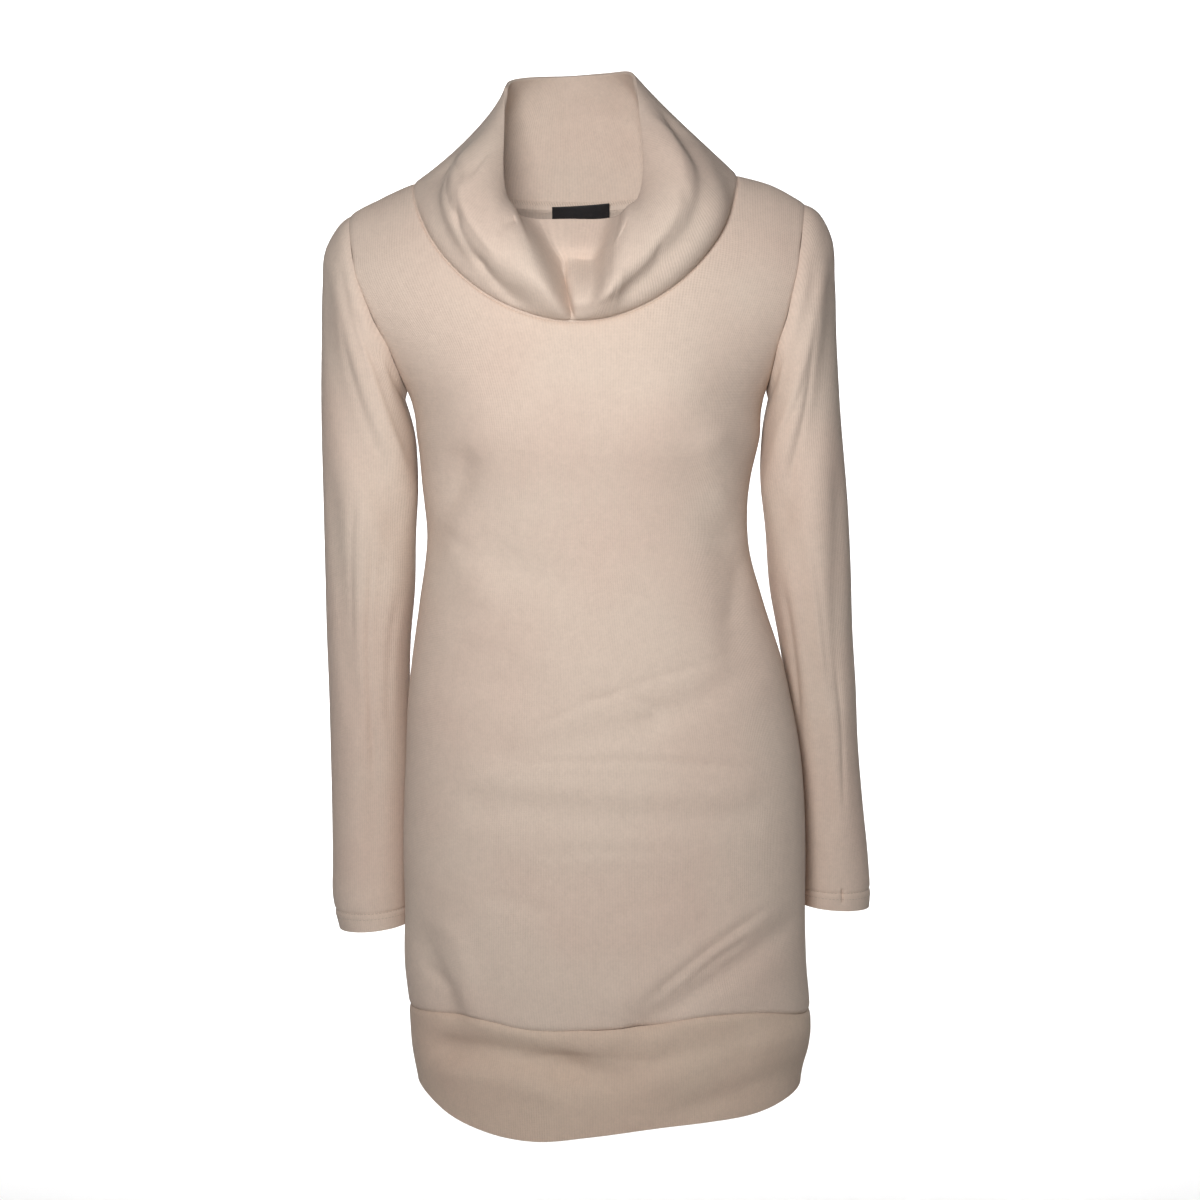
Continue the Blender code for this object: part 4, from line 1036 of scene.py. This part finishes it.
def knit_group():
    """Brushed knit: wales along the cloth, loops across them, fuzz over both, and soft patches.

    Tone is a number near 1 that the colour is multiplied by, Patch is a slow change from 0 to 1,
    and Height is in metres. The wales show less where the brushed fuzz is thick.
    """
    group = bpy.data.node_groups.new("brushed knit", "ShaderNodeTree")
    for name, side in (
        ("Wale pitch", "INPUT"), ("Wale depth", "INPUT"), ("Fuzz depth", "INPUT"),
        ("Tone", "OUTPUT"), ("Patch", "OUTPUT"), ("Height", "OUTPUT"),
    ):
        group.interface.new_socket(name=name, in_out=side, socket_type="NodeSocketFloat")
    pitch, wale_depth, fuzz_depth = group.nodes.new("NodeGroupInput").outputs[:3]
    here = group.nodes.new("ShaderNodeTexCoord").outputs["Object"]

    def noise(vector, scale, detail, roughness):
        return linked(
            group, "ShaderNodeTexNoise", Vector=vector, Scale=scale, Detail=detail, Roughness=roughness,
        )

    def worked(operation, *values):
        return arithmetic(group, operation, *values)

    knit_map, across, along = knit_place(group)
    fuzz, tufts = noise(here, 420.0, 4.0, 0.65), noise(here, 120.0, 3.0, 0.6)
    spin = worked("DIVIDE", 2 * math.pi, pitch)
    swayed = worked("MULTIPLY_ADD", noise(knit_map, 9.0, 1.0, 0.5), WALE_WANDER, across)
    wale = worked("SINE", worked("MULTIPLY", swayed, spin))
    loop = worked("SINE", worked("MULTIPLY", along, worked("MULTIPLY", spin, LOOPS_TO_A_WALE)))
    shown = worked("MULTIPLY", wale, worked("MULTIPLY_ADD", tufts, WALE_COVERED, WALE_BARE))
    ribs = worked("MULTIPLY", shown, wale_depth)
    loops = worked("MULTIPLY", loop, worked("MULTIPLY", wale_depth, LOOP_DEPTH_SHARE))
    nap = worked("MULTIPLY", worked("ADD", fuzz, tufts), fuzz_depth)
    tone = worked("MULTIPLY_ADD", shown, TONE_WALES, TONE_LEAST)
    mottled = worked("MULTIPLY_ADD", tufts, TONE_TUFTS, tone)
    filled(
        group, group.nodes.new("NodeGroupOutput"), Tone=worked("MULTIPLY_ADD", fuzz, TONE_FUZZ, mottled),
        Patch=noise(here, 7.0, 2.0, 0.5), Height=worked("ADD", worked("ADD", ribs, loops), nap),
    )
    return group


def new_material(name):
    """A material, its tree and its shader."""
    material = bpy.data.materials.new(name)
    material.use_nodes = True
    return material, material.node_tree, material.node_tree.nodes["Principled BSDF"]


def knit_material(name, group, base, warm):
    """Brushed jersey: a soft colour that drifts towards a warmer one in patches, with the knit's relief."""
    material, tree, shader = new_material(name)
    knit = tree.nodes.new("ShaderNodeGroup")
    knit.node_tree = group
    filled(tree, knit, Wale_pitch=settings().wale_pitch, Wale_depth=WALE_DEPTH, Fuzz_depth=FUZZ_DEPTH)
    low, high = PATCH_RANGE
    share = linked(tree, "ShaderNodeMapRange", Value=knit.outputs["Patch"], From_Min=low, From_Max=high)
    toned = tree.nodes.new("ShaderNodeVectorMath")
    toned.operation = "SCALE"
    filled(tree, toned, i0=between(tree, share, base, warm), Scale=knit.outputs["Tone"])
    bump = linked(tree, "ShaderNodeBump", Strength=0.6, Distance=1.0, Height=knit.outputs["Height"])
    filled(
        tree, shader, Base_Color=toned.outputs[0], Normal=bump, Roughness=0.92, Specular_IOR_Level=0.18,
        Sheen_Weight=0.08, Sheen_Roughness=0.55, Sheen_Tint=(1.0, 0.93, 0.87, 1),
    )
    return material


def thread_material(name):
    """Thread of the settings' colour, with a slight change of tone in spots."""
    material, tree, shader = new_material(name)
    here = tree.nodes.new("ShaderNodeTexCoord").outputs["Object"]
    spots = linked(tree, "ShaderNodeTexNoise", Vector=here, Scale=600.0, Detail=2.0)
    dark, light = ([min(value * tone, 1) for value in settings().thread_colour] for tone in (0.8, 1.15))
    filled(tree, shader, Base_Color=between(tree, spots, dark, light), Roughness=0.7, Sheen_Weight=0.3)
    return material


def label_material():
    """Plain black satin weave: fine ridges across the label, at the map's own scale."""
    material, tree, shader = new_material("label_weave")
    waves = [
        arithmetic(tree, "SINE", arithmetic(tree, "MULTIPLY", place, 2 * math.pi / pitch))
        for place, pitch in zip(knit_place(tree)[1:], (0.0008, 0.0006))
    ]
    weave = arithmetic(tree, "MULTIPLY", *waves)
    tone = arithmetic(tree, "MULTIPLY_ADD", weave, 0.5, 0.5)
    bump = linked(tree, "ShaderNodeBump", Strength=0.5, Distance=0.0001, Height=weave)
    colour = between(tree, tone, (0.010, 0.009, 0.010), (0.024, 0.021, 0.022))
    filled(tree, shader, Base_Color=colour, Normal=bump, Roughness=0.55)
    return material


def knit_of(node, shade=(1.0, 1.0, 1.0)):
    """The knit's material for one piece of the dress, its red, green and blue multiplied by a painted
    shade.
    """
    base, warm = (
        [channel * part for channel, part in zip(colour, shade)]
        for colour in (settings().cloth_colour, settings().warm_colour)
    )
    group = bpy.data.node_groups.get("brushed knit") or knit_group()
    return knit_material(node + "_knit", group, base, warm)


class DressClothSettings(bpy.types.PropertyGroup):
    """Sizes and colours of the cloth."""

    cloth_colour: bpy.props.FloatVectorProperty(
        name="Cloth colour", description="Colour of the brushed knit", subtype="COLOR", size=3,
        default=(0.67, 0.545, 0.455), min=0, max=1)
    warm_colour: bpy.props.FloatVectorProperty(
        name="Warm patches", description="Colour that the knit drifts to in soft patches", subtype="COLOR",
        size=3, default=(0.655, 0.51, 0.425), min=0, max=1)
    thread_colour: bpy.props.FloatVectorProperty(
        name="Thread", description="Colour of the sewing thread", subtype="COLOR", size=3,
        default=(0.50, 0.40, 0.32), min=0, max=1)
    wale_pitch: bpy.props.FloatProperty(
        name="Wale pitch", description="Distance between the knit's columns", default=0.002, min=0.0005,
        max=0.01, unit="LENGTH", precision=4)
    crease_depth: bpy.props.FloatProperty(
        name="Crease depth", description="How deep the fine creases are, 1 being as worn", default=1.0,
        min=0, max=3, subtype="FACTOR")
    stitch_length: bpy.props.FloatProperty(
        name="Stitch length", description="Length of one stitch of the sleeve hems", default=0.0026,
        min=0.001, max=0.006, unit="LENGTH", precision=4)


class DressStageSettings(bpy.types.PropertyGroup):
    """The camera and the lights."""

    distance: bpy.props.FloatProperty(
        name="Camera distance", description="From the camera to the dress, level with the floor",
        default=2.6, min=0.5, max=10, unit="LENGTH")
    rise: bpy.props.FloatProperty(
        name="Camera rise", description="How far the camera is above the middle of the dress",
        default=0.30, min=-2, max=4, unit="LENGTH")
    photo_width: bpy.props.FloatProperty(
        name="View width", description="Width that the view takes in at the dress", default=1.056,
        min=0.2, max=5, unit="LENGTH")
    key_power: bpy.props.FloatProperty(
        name="Key light", description="Power of the soft light in front, a little to the left", default=9.6,
        min=0, max=500, unit="POWER")
    fill_power: bpy.props.FloatProperty(
        name="Fill light", description="Power of the light from the right", default=1, min=0, max=500,
        unit="POWER")
    rear_power: bpy.props.FloatProperty(
        name="Wall lights", description="Power of each of the two lights on the studio wall", default=34,
        min=0, max=500, unit="POWER")
    sky: bpy.props.FloatProperty(
        name="Room light", description="Brightness of the light from all round", default=0.13, min=0, max=5)
    floor_level: bpy.props.FloatProperty(
        name="Floor level", description="Height of the studio floor", default=-1.25, min=-3, max=0,
        unit="LENGTH")


class DRESS_OT_body_panels(bpy.types.Operator):
    """Adds the front and back panels of the body"""

    bl_idname = "dress.body_panels"
    bl_label = "Body panels"

    def execute(self, context):
        for node, face in (("front_panel", -1), ("back_panel", 1)):
            points, knit = panel_points(face)
            piece = cloth_piece(node + "_knit", points, knit, False, CLOTH, knit_of(node))
            dress_piece(piece, node)
            sheet_of_cloth(points, (0.46, 0.80))
        return {"FINISHED"}


class DRESS_OT_sleeves(bpy.types.Operator):
    """Adds both sleeves, with the rows of stitches of their hems"""

    bl_idname = "dress.sleeves"
    bl_label = "Sleeves"

    def execute(self, context):
        thread = thread_material("sewing_thread")
        for node, side, rings in (
            ("sleeve_wearers_right", -1, RINGS_WEARERS_RIGHT),
            ("sleeve_wearers_left", 1, RINGS_WEARERS_LEFT),
        ):
            points, knit = sleeve_points(side, rings)
            piece = cloth_piece(node + "_knit", points, knit, True, CLOTH, knit_of(node), rounded=0.0007)
            dress_piece(piece, node)
            rows = []
            up_cuff = np.linalg.norm(points - points[:1], axis=-1).mean(1)
            normals = normals_of(points, True)
            for count, height in enumerate((CUFF_HEM, CUFF_HEM - CUFF_ROW_DROP), start=1):
                row = int(np.abs(up_cuff - height).argmin())
                rows.append(row_of_stitches(
                    f"{node}_hem_stitches_{count}", points[row] + normals[row] * (CLOTH / 2), normals[row],
                    settings().stitch_length, CUFF_STITCH_GAP, CUFF_THREAD, thread,
                ))
                sewn_on(rows[-1])
            sheet_of_cloth(points, (0.34, 0.66))
        return {"FINISHED"}


class DRESS_OT_collar(bpy.types.Operator):
    """Adds the draped collar, and the seam that shows inside it behind the neck"""

    bl_idname = "dress.collar"
    bl_label = "Draped collar"

    def execute(self, context):
        points, knit = collar_points()
        cloth = knit_of("cowl_collar")
        piece = cloth_piece("cowl_collar_knit", points, knit, True, DOUBLED_CLOTH, cloth, rounded=0.0013)
        dress_piece(piece, "cowl_collar")
        strip, strip_knit, inward = seam_strip(points, knit)
        allowance = cloth_piece(
            "neck_seam_allowance", strip, strip_knit, False, OVERLOCK_CLOTH, cloth, rounded=0.0002,
        )
        over = strip + inward * (OVERLOCK_CLOTH / 2 + OVERLOCK_THREAD_LIFT)
        ribs = stitches(
            "neck_seam_stitches", over[1, :-1], over[-1, 1:], inward[1, :-1], OVERLOCK_THREAD,
            thread_material("seam_thread"),
        )
        for extra in (allowance, ribs):
            sewn_on(extra)
        sheet_of_cloth(points, (0.72, 0.24))
        return {"FINISHED"}


class DRESS_OT_hem_band(bpy.types.Operator):
    """Adds the doubled band round the hem"""

    bl_idname = "dress.hem_band"
    bl_label = "Hem band"

    def execute(self, context):
        points, knit = band_points()
        # Painted shade: the band's colour is made darker where less light falls on it.
        cloth = knit_of("hem_band", BAND_PAINTED_SHADE)
        piece = cloth_piece("hem_band_knit", points, knit, True, DOUBLED_CLOTH, cloth, rounded=0.0013)
        dress_piece(piece, "hem_band")
        sheet_of_cloth(points, (0.96, 0.10))
        return {"FINISHED"}


class DRESS_OT_neck_label(bpy.types.Operator):
    """Adds the plain woven label behind the neck"""

    bl_idname = "dress.neck_label"
    bl_label = "Neck label"

    def execute(self, context):
        points, knit = label_points()
        weave = label_material()
        piece = cloth_piece("neck_label_weave", points, knit, False, LABEL_CLOTH, weave, rounded=0.0003)
        dress_piece(piece, "neck_label")
        sheet_of_cloth(points, (LABEL_WIDTH, LABEL_HEIGHT + LABEL_LONGER))
        return {"FINISHED"}


class DRESS_OT_stage(bpy.types.Operator):
    """Adds the camera, soft lights, and a pale floor that curves up behind the dress"""

    bl_idname = "dress.stage"
    bl_label = "Studio"

    def execute(self, context):
        stage = context.scene.dress_stage
        lens = bpy.data.cameras.new("camera")
        lens.sensor_width = SENSOR
        lens.lens = SENSOR * math.hypot(stage.distance, stage.rise) / stage.photo_width
        camera = bpy.data.objects.new("camera", lens)
        camera.location = VIEW_AIM + (0, -stage.distance, stage.rise)
        camera.rotation_euler = (math.pi / 2 - math.atan2(stage.rise, stage.distance), 0, 0)
        context.scene.collection.objects.link(camera)
        context.scene.camera = camera
        lights = (
            ("key", (-0.15, -1.45, 0.10), (0.0, 0.0, -0.12), stage.key_power, 0.45, 130),
            ("fill", (1.9, -1.7, 0.2), VIEW_AIM, stage.fill_power, 1.6, 180),
            ("wall_left", (-2.1, 1.2, 1.2), (0.6, 2.8, -0.5), stage.rear_power, 1.2, 100),
            ("wall_right", (2.1, 1.2, 1.2), (-0.6, 2.8, -0.5), stage.rear_power, 1.2, 100),
        )
        for name, place, target, power, size, spread in lights:
            data = bpy.data.lights.new(name, "AREA")
            data.energy = power
            data.shape = "DISK"
            data.size = size
            data.spread = math.radians(spread)
            light = bpy.data.objects.new(name, data)
            light.visible_camera = False
            light.location = place
            x, y, z = np.array(place) - target
            light.rotation_euler = (0, math.atan2(math.hypot(x, y), z), math.atan2(y, x))
            context.scene.collection.objects.link(light)
        world = bpy.data.worlds.new("room")
        world.use_nodes = True
        tree = world.node_tree
        filled(tree, tree.nodes["Background"], Color=(1, 1, 1, 1), Strength=stage.sky)
        context.scene.world = world
        context.scene.view_settings.view_transform = "Standard"
        self.floor(context, stage.floor_level)
        return {"FINISHED"}

    def floor(self, context, level):
        """A flat floor, a quarter circle and an upright wall: one profile carried straight across."""
        quarter = np.linspace(0, np.pi / 2, 25)
        back, up = STUDIO_BEND * np.sin(quarter), STUDIO_BEND * (1 - np.cos(quarter))
        y = np.concatenate(((-STUDIO_REACH,), STUDIO_BEND_AT + back, (STUDIO_BEND_AT + STUDIO_BEND,)))
        z = level + np.concatenate(((0.0,), up, (STUDIO_WALL,)))
        across = np.linspace(-STUDIO_REACH, STUDIO_REACH, 5)
        points = np.stack(np.broadcast_arrays(across, y[:, None], z[:, None]), -1)
        mesh = grid_mesh("studio_floor", points, points[..., :2], False)
        paint, tree, shader = new_material("studio_paint")
        filled(tree, shader, Base_Color=(0.93, 0.93, 0.93, 1), Roughness=0.9)
        mesh.materials.append(paint)
        floor = bpy.data.objects.new("studio_floor", mesh)
        context.scene.collection.objects.link(floor)


class DRESS_PT_panel(bpy.types.Panel):
    """Lists the settings and the steps that build the dress"""

    bl_idname = "DRESS_PT_panel"
    bl_label = "Knitted dress"
    bl_space_type = "VIEW_3D"
    bl_region_type = "UI"
    bl_category = "Dress"

    def draw(self, context):
        for group in (context.scene.dress_cloth, context.scene.dress_stage):
            box = self.layout.box()
            for name in group.__annotations__:
                box.prop(group, name)
        for step in STEPS:
            self.layout.operator(step.bl_idname)


STEPS = (
    DRESS_OT_body_panels, DRESS_OT_sleeves, DRESS_OT_collar, DRESS_OT_hem_band, DRESS_OT_neck_label,
    DRESS_OT_stage,
)
CLASSES = (DressClothSettings, DressStageSettings, *STEPS, DRESS_PT_panel)


def register():
    for part in CLASSES:
        bpy.utils.register_class(part)
    bpy.types.Scene.dress_cloth = bpy.props.PointerProperty(type=DressClothSettings)
    bpy.types.Scene.dress_stage = bpy.props.PointerProperty(type=DressStageSettings)


def unregister():
    del bpy.types.Scene.dress_cloth
    del bpy.types.Scene.dress_stage
    for part in reversed(CLASSES):
        bpy.utils.unregister_class(part)


def main():
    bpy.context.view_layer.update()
    register()
    bpy.ops.dress.body_panels()
    bpy.ops.dress.sleeves()
    bpy.ops.dress.collar()
    bpy.ops.dress.hem_band()
    bpy.ops.dress.neck_label()
    bpy.ops.dress.stage()
    bpy.context.view_layer.update()


if __name__ == "__main__":
    main()
